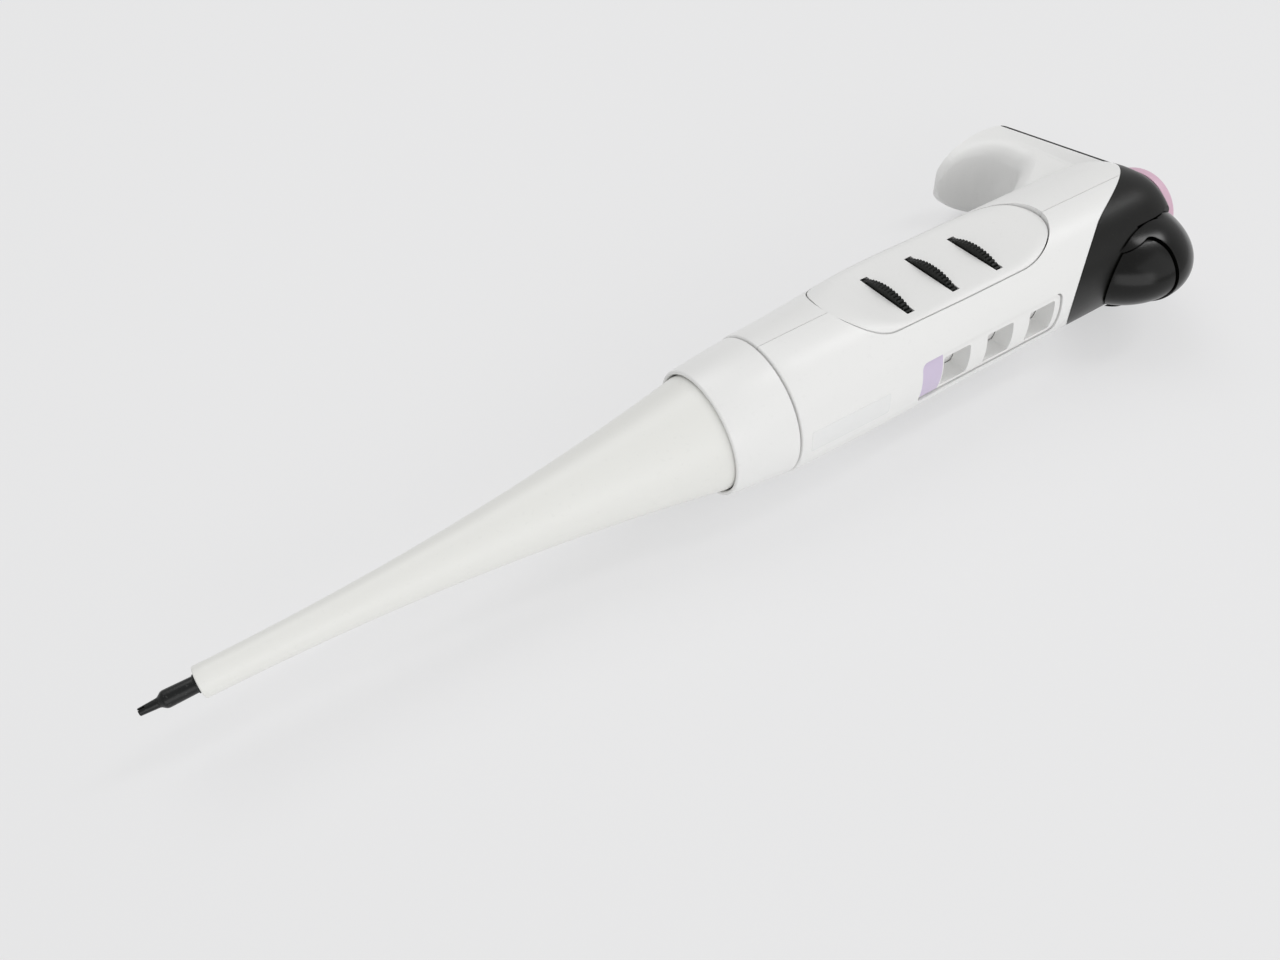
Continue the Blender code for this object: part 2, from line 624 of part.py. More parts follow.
def dial_cavity(name):
    """The room inside the shells for the dials, the ejector arm and the ledge under the plunger guide."""
    wheel = DIAL_RADIUS + RUNNING_GAP
    seat = DRUM_RADIUS + CLEARANCE
    room_low = FIRST_DIAL_X - RUNNING_GAP
    room_high = SPINDLE_TOP_FLANGE_X - RUNNING_GAP
    profile = [(SPINDLE_X - CLEARANCE, 0.0), (SPINDLE_X - CLEARANCE, seat), (room_low, seat)]
    for x in dial_starts():
        low = x - RUNNING_GAP
        high = x + DIAL_THICKNESS + RUNNING_GAP
        if x > FIRST_DIAL_X:
            profile.append((low, DIAL_CAVITY_RADIUS))
        profile += [(low, wheel), (high, wheel), (high, DIAL_CAVITY_RADIUS)]
    shelf = SPINDLE_TOP + CLEARANCE
    lip_end = shelf + SPINDLE_LIP_LENGTH
    profile += [(room_high, DIAL_CAVITY_RADIUS), (room_high, seat), (shelf, seat)]
    profile += [(shelf, SPINDLE_LIP_RADIUS), (lip_end, SPINDLE_LIP_RADIUS)]
    profile += [(lip_end, UPPER_CAVITY_RADIUS), (LEDGE_X, UPPER_CAVITY_RADIUS)]
    profile += [(LEDGE_X, GUIDE_LEDGE_BORE), (GUIDE_SEAT + CLEARANCE, GUIDE_LEDGE_BORE)]
    profile += [(GUIDE_SEAT + CLEARANCE, 0.0)]
    return turned(name, profile, axis_y=DIAL_AXIS_Y, sides=FINE_SIDES)


# Tools shared by the shells, the panels and the cap
front_half = box("front_half", (0.0, -FAR, -FAR), (CAP_TOP + FAR, SHELL_PARTING / 2.0, FAR))
rear_half = box("rear_half", (0.0, -SHELL_PARTING / 2.0, -FAR), (CAP_TOP + FAR, FAR, FAR))
hook = hook_form("hook_form")
above_seam = seam_region("above_seam", 0.0)
cap_region = seam_region("cap_region", CAP_SEAM_GAP)
cavity = dial_cavity("dial_cavity")
lower_cavity = turned("lower_cavity", [
    (HANDLE_X - CLEARANCE, 0.0), (HANDLE_X - CLEARANCE, HUB_RADIUS + CLEARANCE),
    (HUB_SEAT, HUB_RADIUS + CLEARANCE), (HUB_SEAT, LOWER_CAVITY_RADIUS),
    (SPINDLE_X, LOWER_CAVITY_RADIUS), (SPINDLE_X, 0.0)], sides=FINE_SIDES)
guide_well = turned("guide_well", cylinder(GUIDE_SEAT, CAP_TOP + FAR, GUIDE_WELL_RADIUS), axis_y=PLUNGER_Y,
                    sides=FINE_SIDES)
pocket_depth = PANEL_BACK - CLEARANCE
panel_pockets = [panel_prism(f"panel_pocket_{side:+d}", CLEARANCE, pocket_depth, side) for side in (1, -1)]
display_hole = front_prism("display_hole", display_outline(CLEARANCE), -FAR, DISPLAY_BACK_Y + CLEARANCE)

# Handle shells
front_shell = handle_form("front_shell", WHITE)
rear_shell = handle_form("rear_shell", WHITE)
shape(front_shell, rear_half)
shape(rear_shell, hook, "UNION")
shape(rear_shell, front_half)
for shell in (front_shell, rear_shell):
    shape(shell, above_seam)
    shape(shell, lower_cavity)
    shape(shell, cavity)
    shape(shell, guide_well)
    for pocket in panel_pockets:
        shape(shell, pocket)
shape(front_shell, display_hole)

# Top cap, with the notch and slot that the ejector moves in
top_cap = handle_form("top_cap", CHARCOAL)
shape(top_cap, hook, "UNION")
shape(top_cap, cap_region, "INTERSECT")
shape(top_cap, cavity)
shape(top_cap, guide_well)
notch_half = LOBE_BLOCK_HALF_WIDTH + RUNNING_GAP
shape(top_cap, box("ejector_notch", (NOTCH_X, -FAR, -notch_half),
                   (CAP_TOP + FAR, LOBE_BACK_Y + RUNNING_GAP, notch_half)))
arm_slot_half = ARM_HALF_WIDTH + RUNNING_GAP
shape(top_cap, box("arm_slot", (LEDGE_X - GUIDE_LEDGE, ARM_Y - RUNNING_GAP, -arm_slot_half),
                   (NOTCH_X + GUIDE_LEDGE, LOBE_BACK_Y + RUNNING_GAP, arm_slot_half)))

# Dial panels, slotted for the wheels
wheel_slots = dial_slots("wheel_slots", DIAL_RADIUS + RUNNING_GAP)
for side, name in ((1, "dial_panel_left"), (-1, "dial_panel_right")):
    panel = panel_prism(name, 0.0, PANEL_BACK, side, WHITE)
    shape(panel, panel_face(f"{name}_face", side), "INTERSECT")
    shape(panel, wheel_slots)

# Display frame with its windows
display_frame = front_prism("display_frame", display_outline(0.0), -FAR, DISPLAY_BACK_Y, ROOT, WHITE)
frame_face = turned("frame_face", cylinder(HANDLE_X, CAP_TOP, HANDLE_RADIUS - DISPLAY_RECESS),
                    sides=FINE_SIDES)
shape(display_frame, frame_face, "INTERSECT")
shape(display_frame, wheel_slots)
for number, x in enumerate(dial_starts()):
    low = (x + WINDOW_OFFSET, -FAR, -WINDOW_HALF_HEIGHT)
    high = (x + WINDOW_OFFSET + WINDOW_LENGTH, 0.0, WINDOW_HALF_HEIGHT)
    shape(display_frame, box(f"window_{number + 1}", low, high))

# Nozzle shaft with its hub, and the seal packed inside it
ring_low = SLEEVE_MOUTH_X - 0.5 * BARREL_RING_LENGTH
ring_high = ring_low + BARREL_RING_LENGTH
shaft_cone = []
for station in range(SHAFT_STATIONS + 1):
    share = station / SHAFT_STATIONS
    radius = BARREL_RING_RADIUS + (SHAFT_ROOT_RADIUS - BARREL_RING_RADIUS) * share * share
    shaft_cone.append((ring_high + (COLLAR_X - ring_high) * share, radius))
seal_floor = HUB_TOP - ROD_BORE_DEPTH - SEAL_LENGTH - SEAL_RETAINER_LENGTH - 3.0 * CLEARANCE
seal_top = HUB_TOP - ROD_BORE_DEPTH
nozzle_shaft = turned("nozzle_shaft", [
    (0.0, NOSE_BORE), (0.0, NOSE_RADIUS), (NOSE_LENGTH, NOSE_RADIUS + NOSE_DRAFT),
    (NOSE_LENGTH + SHOULDER_LENGTH, BARREL_RADIUS), (ring_low, BARREL_RADIUS - BARREL_DRAFT),
    (ring_low, BARREL_RING_RADIUS), *shaft_cone, (HUB_X, SHAFT_ROOT_RADIUS), (HUB_X, HUB_RADIUS),
    (HUB_TOP, HUB_RADIUS), (HUB_TOP, ROD_BORE), (seal_top, ROD_BORE), (seal_top, SEAL_POCKET_RADIUS),
    (seal_floor, SEAL_POCKET_RADIUS), (seal_floor, PISTON_BORE), (PISTON_BORE_START, PISTON_BORE),
    (PISTON_BORE_START, NOSE_BORE)], finish=NOZZLE_BLACK, sides=SHAFT_SIDES)
rod_hole = turned("ejector_rod_hole", cylinder(COLLAR_X, SPINDLE_X, EJECTOR_ROD_RADIUS + RUNNING_GAP),
                  axis_y=EJECTOR_ROD_Y, sides=SMALL_SIDES)
shape(nozzle_shaft, rod_hole)
slot_half = 0.5 * NOSE_SLOT_WIDTH
shape(nozzle_shaft, box("nose_slot", (-FAR, -slot_half, -FAR), (NOSE_SLOT_DEPTH, slot_half, FAR)))
seal_x = seal_floor + CLEARANCE
seal_radius = SEAL_POCKET_RADIUS - CLEARANCE
turned("piston_seal", ring(seal_x, seal_x + SEAL_LENGTH, PISTON_BORE, seal_radius), finish=RUBBER,
       sides=SMALL_SIDES)
retainer_x = seal_x + SEAL_LENGTH + CLEARANCE
turned("seal_retainer", ring(retainer_x, retainer_x + SEAL_RETAINER_LENGTH, PISTON_BORE, seal_radius),
       finish=STEEL, sides=SMALL_SIDES)

# Collar nut that clamps the nozzle hub to the handle
sleeve_room = SLEEVE_TOP_RADIUS + RUNNING_GAP
collar_top = COLLAR_X + COLLAR_LENGTH
lip_x = collar_top - COLLAR_LIP_LENGTH
turned("collar_nut", [
    (COLLAR_X, sleeve_room), (COLLAR_X, COLLAR_LOW_RADIUS - COLLAR_EDGE),
    (COLLAR_X + COLLAR_EDGE, COLLAR_LOW_RADIUS), (collar_top - COLLAR_EDGE, COLLAR_TOP_RADIUS),
    (collar_top, COLLAR_TOP_RADIUS - COLLAR_EDGE), (collar_top, COLLAR_LIP_RADIUS),
    (lip_x, COLLAR_LIP_RADIUS), (lip_x, sleeve_room)], finish=WHITE, sides=FINE_SIDES)

# Spindle tube that the dials turn on
turned("dial_spindle", [
    (SPINDLE_X, SPINDLE_BORE), (SPINDLE_X, DRUM_RADIUS),
    (SPINDLE_X + SPINDLE_LOW_FLANGE, DRUM_RADIUS), (SPINDLE_X + SPINDLE_LOW_FLANGE, SPINDLE_RADIUS),
    (SPINDLE_TOP_FLANGE_X, SPINDLE_RADIUS), (SPINDLE_TOP_FLANGE_X, DRUM_RADIUS),
    (SPINDLE_TOP, DRUM_RADIUS), (SPINDLE_TOP, SPINDLE_BORE)],
    finish=CHARCOAL, axis_y=DIAL_AXIS_Y, sides=ROUND_SIDES)

# Dial wheels and digit drums
dial_bore = SPINDLE_RADIUS + CLEARANCE
for number, x in enumerate(dial_starts()):
    carrier = DIALS[number]
    toothed = []
    for step in range(2 * DIAL_TEETH):
        angle = math.pi * step / DIAL_TEETH
        radius = DIAL_RADIUS - DIAL_TOOTH_DEPTH * (step % 2)
        toothed.append((x, radius * math.cos(angle), radius * math.sin(angle)))
    wheel = prism(f"dial_wheel_{number + 1}", toothed, (DIAL_THICKNESS, 0.0, 0.0), carrier, DIAL_BLACK,
                  DIAL_AXIS_Y)
    bore = turned(f"dial_bore_{number + 1}", cylinder(x - FAR, x + FAR, dial_bore), axis_y=DIAL_AXIS_Y)
    shape(wheel, bore)
    drum_x = x + DIAL_THICKNESS + CLEARANCE
    turned(f"digit_drum_{number + 1}", ring(drum_x, x + DIAL_PITCH - RUNNING_GAP, dial_bore, DRUM_RADIUS),
           carrier, WHITE, DIAL_AXIS_Y, ROUND_SIDES)

# Plunger: button, guide, rod, stop and piston
guide_floor_top = GUIDE_X + GUIDE_FLOOR
guide_radius = GUIDE_BORE + GUIDE_WALL
guide = turned("plunger_guide", [
    (GUIDE_X, 0.0), (GUIDE_X, guide_radius), (CAP_TOP - CLEARANCE, guide_radius),
    (CAP_TOP - CLEARANCE, GUIDE_BORE), (guide_floor_top, GUIDE_BORE), (guide_floor_top, 0.0)],
    finish=CHARCOAL, axis_y=PLUNGER_Y, sides=FINE_SIDES)
shape(guide, turned("plunger_rod_hole", cylinder(GUIDE_X - FAR, CAP_TOP, PLUNGER_ROD_RADIUS + RUNNING_GAP),
                    sides=SMALL_SIDES))
turned("plunger_button", [
    (BUTTON_BOTTOM, BUTTON_RADIUS - BUTTON_WALL), (BUTTON_BOTTOM, BUTTON_RADIUS), (BUTTON_TOP, BUTTON_RADIUS),
    (BUTTON_TOP, 0.0), (BUTTON_TOP - BUTTON_WEB, 0.0),
    (BUTTON_TOP - BUTTON_WEB, BUTTON_RADIUS - BUTTON_WALL)],
    PLUNGER, CHARCOAL, PLUNGER_Y, FINE_SIDES)
cap_low = BUTTON_TOP + CLEARANCE
cap_high = cap_low + BUTTON_CAP_THICKNESS
cap_round = arc((cap_high - BUTTON_CAP_ROUND, BUTTON_CAP_RADIUS - BUTTON_CAP_ROUND),
                (BUTTON_CAP_ROUND, BUTTON_CAP_ROUND), 90.0, 0.0, 4)
cap_edge = [(cap_low, 0.0), (cap_low, BUTTON_CAP_RADIUS)] + cap_round
turned("plunger_cap", cap_edge + [(cap_high - BUTTON_DISH, 0.0)], PLUNGER, PINK, PLUNGER_Y, FINE_SIDES)
turned("plunger_rod", cylinder(ROD_BOTTOM, ROD_TOP, PLUNGER_ROD_RADIUS), PLUNGER, STEEL, sides=SMALL_SIDES)
stop_top = STOP_X + STOP_LENGTH
stop_collar = turned("stop_collar", ring(STOP_X, stop_top, PLUNGER_ROD_RADIUS + CLEARANCE, STOP_RADIUS),
                     PLUNGER, STEEL, sides=SMALL_SIDES)
shape(stop_collar, turned("clip_relief", cylinder(STOP_X - FAR, stop_top + FAR, CLIP_RADIUS + CLEARANCE),
                          axis_y=EJECTOR_ROD_Y, sides=SMALL_SIDES))
piston_top = PISTON_START + PISTON_LENGTH
turned("piston", [
    (PISTON_START, 0.0), (PISTON_START, PISTON_RADIUS), (piston_top, PISTON_RADIUS),
    (piston_top, PISTON_HEAD_RADIUS), (piston_top + PISTON_HEAD_LENGTH, PISTON_HEAD_RADIUS),
    (piston_top + PISTON_HEAD_LENGTH, 0.0)], PLUNGER, STEEL, sides=SMALL_SIDES)


def sleeve_radius(x):
    """The sleeve's outside, a parabola from its mouth to the collar."""
    share = (x - SLEEVE_MOUTH_X) / SLEEVE_REACH
    return SLEEVE_MOUTH_RADIUS + (SLEEVE_TOP_RADIUS - SLEEVE_MOUTH_RADIUS) * share * share


# Ejector: sleeve, yoke, rod, clip, arm and thumb button
flare = [SLEEVE_MOUTH_X + SLEEVE_REACH * index / SLEEVE_STATIONS for index in range(SLEEVE_STATIONS + 1)]
outside = [(x, sleeve_radius(x)) for x in flare]
yoke_seat = YOKE_X - CLEARANCE
inner_wall = [(x, sleeve_radius(x) - SLEEVE_WALL) for x in reversed(flare[::2] + flare[-1:])]
guide_bore = SLEEVE_TOP_RADIUS - SLEEVE_WALL
seat_bore = inner_wall[0][1] - SLEEVE_WALL
inside = [(SLEEVE_TOP, guide_bore), (yoke_seat, guide_bore), (yoke_seat, seat_bore), (flare[-1], seat_bore)]
inside += [point for point in inner_wall if point[1] < seat_bore]
outside.append((SLEEVE_TOP, SLEEVE_TOP_RADIUS))
turned("ejector_sleeve", outside + inside, EJECTOR, IVORY, sides=FINE_SIDES)
turned("ejector_yoke", ring(YOKE_X, YOKE_TOP, YOKE_BORE, guide_bore - CLEARANCE), EJECTOR, CHARCOAL)
turned("ejector_rod", cylinder(EJECTOR_ROD_BOTTOM, EJECTOR_ROD_TOP, EJECTOR_ROD_RADIUS), EJECTOR, STEEL,
       EJECTOR_ROD_Y, SMALL_SIDES)
turned("ejector_clip", ring(CLIP_X, CLIP_X + CLIP_LENGTH, EJECTOR_ROD_RADIUS + CLEARANCE, CLIP_RADIUS),
       EJECTOR, STEEL, EJECTOR_ROD_Y, SMALL_SIDES)
arm_back = ARM_Y + ARM_THICKNESS
foot_back = EJECTOR_ROD_Y + EJECTOR_ROD_RADIUS + ARM_FOOT_MARGIN
foot_top = ARM_FOOT_X + ARM_FOOT_LENGTH
side_prism("ejector_arm", [
    (ARM_FOOT_X, ARM_Y), (ARM_TOP, ARM_Y), (ARM_TOP, arm_back), (foot_top, arm_back), (foot_top, foot_back),
    (ARM_FOOT_X, foot_back)], ARM_HALF_WIDTH, EJECTOR, CHARCOAL)


def lobe(name, inset, finish):
    """The bulb of the ejector button, fuller below its middle than above."""
    bm = bmesh.new()
    bmesh.ops.create_uvsphere(bm, u_segments=LOBE_SIDES, v_segments=LOBE_RINGS, radius=1.0)
    for vert in bm.verts:
        along = LOBE_RISE if vert.co.x > 0.0 else LOBE_FALL
        vert.co = Vector((LOBE_X + vert.co.x * (along - inset), LOBE_Y + vert.co.y * (LOBE_FRONT - inset),
                          vert.co.z * (LOBE_HALF_WIDTH - inset)))
    return mesh_piece(name, bm, EJECTOR, finish)


def skirt_outline(margin):
    """The skirt seen from in front: sides that draw in towards the nose, and rounded upper corners."""
    top = LOBE_SPLIT + margin
    half = LOBE_HALF_WIDTH - SKIRT_MARGIN + margin
    low_x = LOBE_X - LOBE_FALL - CLEARANCE
    side_half = half - SKIRT_TAPER * SKIRT_CORNER
    flank = [(low_x, half - SKIRT_TAPER * (top - low_x))]
    flank += bend((top - SKIRT_CORNER, side_half), (top, half), (top, half - SKIRT_CORNER))
    flank += [(top, half - SKIRT_CORNER)]
    return flank + [(x, -z) for x, z in reversed(flank)]


cap_keepout = turned("cap_keepout", cylinder(HANDLE_X, CAP_TOP + FAR, HANDLE_RADIUS + RUNNING_GAP),
                     sides=HANDLE_SIDES)
shape(cap_keepout, box("block_room", (LOBE_BLOCK_X, -FAR, -LOBE_BLOCK_HALF_WIDTH),
                       (CAP_TOP + 2.0 * FAR, LOBE_BACK_Y, LOBE_BLOCK_HALF_WIDTH)))
behind_lobe = box("behind_lobe", (HANDLE_X, LOBE_BACK_Y, -FAR), (CAP_TOP + FAR, FAR, FAR))
ejector_button = lobe("ejector_button", 0.0, GLOSS_BLACK)
shape(ejector_button, cap_keepout)
shape(ejector_button, behind_lobe)
shape(ejector_button, front_prism("skirt_room", skirt_outline(CLEARANCE), -FAR, FAR))
shape(ejector_button, box("arm_socket", (HANDLE_X, ARM_Y - CLEARANCE, -ARM_HALF_WIDTH - CLEARANCE),
                          (ARM_TOP + CLEARANCE, FAR, ARM_HALF_WIDTH + CLEARANCE)))
ejector_skirt = lobe("ejector_skirt", SKIRT_INSET, CHARCOAL)
shape(ejector_skirt, cap_keepout)
shape(ejector_skirt, behind_lobe)
shape(ejector_skirt, front_prism("skirt_trim", skirt_outline(0.0), -FAR, FAR), "INTERSECT")


def spring(name, x_low, x_high, axis_y, radius, wire, turns, carrier):
    """A helical spring as one tube, with the least gap between its turns printed."""
    points = turns * CURL_POINTS
    curve = bpy.data.curves.new(name, "CURVE")
    curve.dimensions = "3D"
    curve.bevel_depth = wire
    curve.bevel_resolution = 1
    curve.use_fill_caps = True
    line = curve.splines.new("POLY")
    line.points.add(points)
    for index in range(points + 1):
        angle = 2.0 * math.pi * index / CURL_POINTS
        x = x_low + wire + (x_high - x_low - 2.0 * wire) * index / points
        line.points[index].co = (x, radius * math.cos(angle), radius * math.sin(angle), 1.0)
    pitch = (x_high - x_low - 2.0 * wire) / turns
    print(f"{name}: least gap between turns {1000.0 * (pitch - 2.0 * wire):.2f} mm")
    return place(bpy.data.objects.new(name, curve), carrier, STEEL, axis_y)


spring("return_spring", guide_floor_top + CLEARANCE, ROD_TOP, PLUNGER_Y, RETURN_SPRING_RADIUS,
       RETURN_SPRING_WIRE, RETURN_SPRING_TURNS, ROOT)
spring("ejector_spring", EJECTOR_SPRING_X, CLIP_X - CLEARANCE, EJECTOR_ROD_Y, EJECTOR_SPRING_RADIUS,
       EJECTOR_SPRING_WIRE, EJECTOR_SPRING_TURNS, ROOT)

# Roll the pipette on to its side and stand the box's bottom centre on the origin
corner_reach = math.hypot(HOOK_REACH, HOOK_LIP_HALF_WIDTH)
roll = math.asin(HANDLE_RADIUS / corner_reach) - math.atan2(HOOK_LIP_HALF_WIDTH, HOOK_REACH)
ROOT.rotation_euler = (-roll, 0.0, 0.0)
bpy.context.view_layer.update()
graph = bpy.context.evaluated_depsgraph_get()
corners = []
for piece in PARTS.objects:
    if piece.type == "EMPTY":
        continue
    evaluated = piece.evaluated_get(graph)
    mesh = evaluated.to_mesh()
    corners += [evaluated.matrix_world @ vert.co for vert in mesh.vertices]
    evaluated.to_mesh_clear()
low = Vector([min(corner[axis] for corner in corners) for axis in range(3)])
high = Vector([max(corner[axis] for corner in corners) for axis in range(3)])
ROOT.location = (-(low.x + high.x) / 2.0, -(low.y + high.y) / 2.0, -low.z)
bpy.context.view_layer.update()
print("size mm", [round(1000.0 * side, 2) for side in high - low], "roll", round(math.degrees(roll), 3))
for holder in [ROOT, PLUNGER, EJECTOR] + DIALS:
    print(holder.name, [round(value, 6) for value in holder.matrix_world.translation])
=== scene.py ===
"""The looks of a manual micropipette that lies on its side.

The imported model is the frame. Each class below is one sub-assembly: it takes its places from the frame,
models its pieces with bmesh operators about the pipette's own axis, and dresses them. A finished piece is
laid in the frame, where it rides on its body and stands for its node. In the pipette's own axes, x runs
from the nose to the plunger, y points to the finger hook, and z is up when the pipette lies level.
"""

import json
import logging
import math
from dataclasses import dataclass
from enum import Enum
from functools import lru_cache
from typing import Callable, Sequence

import bmesh
import bpy
from mathutils import Matrix, Vector


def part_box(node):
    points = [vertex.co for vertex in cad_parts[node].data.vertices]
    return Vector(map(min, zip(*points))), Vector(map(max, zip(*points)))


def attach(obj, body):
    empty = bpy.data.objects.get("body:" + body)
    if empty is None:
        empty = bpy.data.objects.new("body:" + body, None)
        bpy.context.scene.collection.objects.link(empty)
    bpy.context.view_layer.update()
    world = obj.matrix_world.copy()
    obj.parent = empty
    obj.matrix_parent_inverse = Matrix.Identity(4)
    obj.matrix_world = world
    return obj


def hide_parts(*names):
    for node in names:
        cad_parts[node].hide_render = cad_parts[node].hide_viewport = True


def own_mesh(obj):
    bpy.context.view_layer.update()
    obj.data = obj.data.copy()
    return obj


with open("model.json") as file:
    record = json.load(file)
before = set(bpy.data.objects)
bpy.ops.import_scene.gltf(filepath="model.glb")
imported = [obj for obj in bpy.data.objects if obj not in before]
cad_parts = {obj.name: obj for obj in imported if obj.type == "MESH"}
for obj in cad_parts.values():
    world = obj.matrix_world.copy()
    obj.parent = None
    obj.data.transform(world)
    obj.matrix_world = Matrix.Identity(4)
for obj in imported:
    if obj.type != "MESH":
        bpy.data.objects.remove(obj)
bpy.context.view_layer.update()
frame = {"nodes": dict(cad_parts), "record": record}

LOG = logging.getLogger("micropipette")
Point = tuple[float, float]
Place = tuple[float, float, float]
Colour = tuple[float, float, float]
Section = list[Place]

CLEARANCE = 0.0003
RUNNING_GAP = 0.0004
FAR = 0.060
WELD = 1e-7

# Values that more than one sub-assembly needs
HUB_RADIUS = 0.0119
DIAL_AXIS_Y = 0.0004
DIAL_RADIUS = 0.0139
DRUM_RADIUS = 0.010845
DIAL_NUMBERS = (1, 2, 3)
DISPLAY_RECESS = 0.0004
PLUNGER_Y = 0.0022
GUIDE_RADIUS = 0.0112
ARM_FRONT_Y = -0.01146
ARM_HALF_WIDTH = 0.0024

# Steps in a full turn, from small holes up to cuts that follow a round face closely
HOLE_TURN = 32
SLIM_TURN = 48
ROUND_TURN = 96
FINE_TURN = 128
FINEST_TURN = 192

# The power at which a section's curve is an ellipse
ELLIPSE = 2.0


class Slot(Enum):
    """The record's material slots."""

    WHITE = "moulded_white"
    IVORY = "sleeve_white"
    CHARCOAL = "cap_charcoal"
    GLOSS = "ejector_black"
    NOZZLE = "nozzle_charcoal"
    DIAL = "dial_black"
    PINK = "plunger_pink"
    STEEL = "bright_steel"
    RUBBER = "seal_rubber"


class Body(Enum):
    """The bodies that pieces ride on, apart from the dials."""

    HANDLE = "handle"
    PLUNGER = "plunger"
    EJECTOR = "ejector"


class Carve(Enum):
    """What a tool does to a solid."""

    JOIN = "UNION"
    KEEP = "INTERSECT"
    CUT = "DIFFERENCE"


class Side(Enum):
    """The two flat sides of the handle, as signs of z."""

    UPPER = 1.0
    LOWER = -1.0


class Socket:
    """A node's output, whose arithmetic adds Math nodes."""

    def __init__(self, graph: "Graph", output: bpy.types.NodeSocket) -> None:
        """Keep the output and its graph."""
        self.graph = graph
        self.output = output

    def _math(self, operation: str, first: "Socket | float", second: "Socket | float") -> "Socket":
        """One Math node on two values."""
        return self.graph.node("ShaderNodeMath", {"operation": operation}, {0: first, 1: second})

    def __add__(self, other: "Socket | float") -> "Socket":
        """This value and another."""
        return self._math("ADD", self, other)

    def __radd__(self, other: float) -> "Socket":
        """A number and this value."""
        return self._math("ADD", other, self)

    def __sub__(self, other: "Socket | float") -> "Socket":
        """This value less another."""
        return self._math("SUBTRACT", self, other)

    def __mul__(self, other: "Socket | float") -> "Socket":
        """This value times another."""
        return self._math("MULTIPLY", self, other)

    def __rmul__(self, other: float) -> "Socket":
        """A number times this value."""
        return self._math("MULTIPLY", other, self)


class Graph:
    """The nodes of one material."""

    noise_roughness = 0.55
    speck_edge = 0.06
    speck_detail = 1.0

    # The colour sockets of a Mix node, which go by number because their names repeat
    mix_share = 0
    mix_first = 6
    mix_second = 7
    mix_result = 2

    def __init__(self, material: bpy.types.Material) -> None:
        """Start from the material's own shader."""
        material.use_nodes = True
        self.tree = material.node_tree
        self.shader = self.tree.nodes["Principled BSDF"]

    def feed(self, target: bpy.types.NodeSocket, value: object) -> None:
        """Set a socket's value, or link a socket to it."""
        if isinstance(value, Socket):
            self.tree.links.new(value.output, target)
        else:
            target.default_value = value

    def node(self, kind: str, settings: dict, inputs: dict, output: int | str = 0) -> Socket:
        """Add a node.

        Args:
            kind: the node's type.
            settings: its properties, which are set first; stops are the places and colours of a ramp.
            inputs: values or links, by the socket's name or number.
            output: the name or number of the output to give back.

        Returns:
            The chosen output.
        """
        made = self.tree.nodes.new(kind)
        for name, value in settings.items():
            if name == "stops":
                for element, (place, shade) in zip(made.color_ramp.elements, value):
                    element.position = place
                    element.color = (shade, shade, shade, 1.0)
            else:
                setattr(made, name, value)
        for name, value in inputs.items():
            self.feed(made.inputs[name], value)
        return Socket(self, made.outputs[output])

    def noise(self, place: Socket, size: float, detail: float) -> Socket:
        """Noise whose blots are about a size across."""
        settings = {"noise_dimensions": "3D"}
        inputs = {"Vector": place, "Scale": 1.0 / size, "Detail": detail,
                  "Roughness": self.noise_roughness}
        return self.node("ShaderNodeTexNoise", settings, inputs, "Fac")

    def specks(self, place: Socket, size: float, rarity: float) -> Socket:
        """A mask of scattered specks."""
        stops = [(rarity, 0.0), (rarity + self.speck_edge, 1.0)]
        blots = self.noise(place, size, self.speck_detail)
        return self.node("ShaderNodeValToRGB", {"stops": stops}, {"Fac": blots}, "Color")

    def blend(self, mask: Socket, first: object, second: object) -> Socket:
        """A colour between two others."""
        inputs = {self.mix_share: mask, self.mix_first: first, self.mix_second: second}
        return self.node("ShaderNodeMix", {"data_type": "RGBA"}, inputs, self.mix_result)


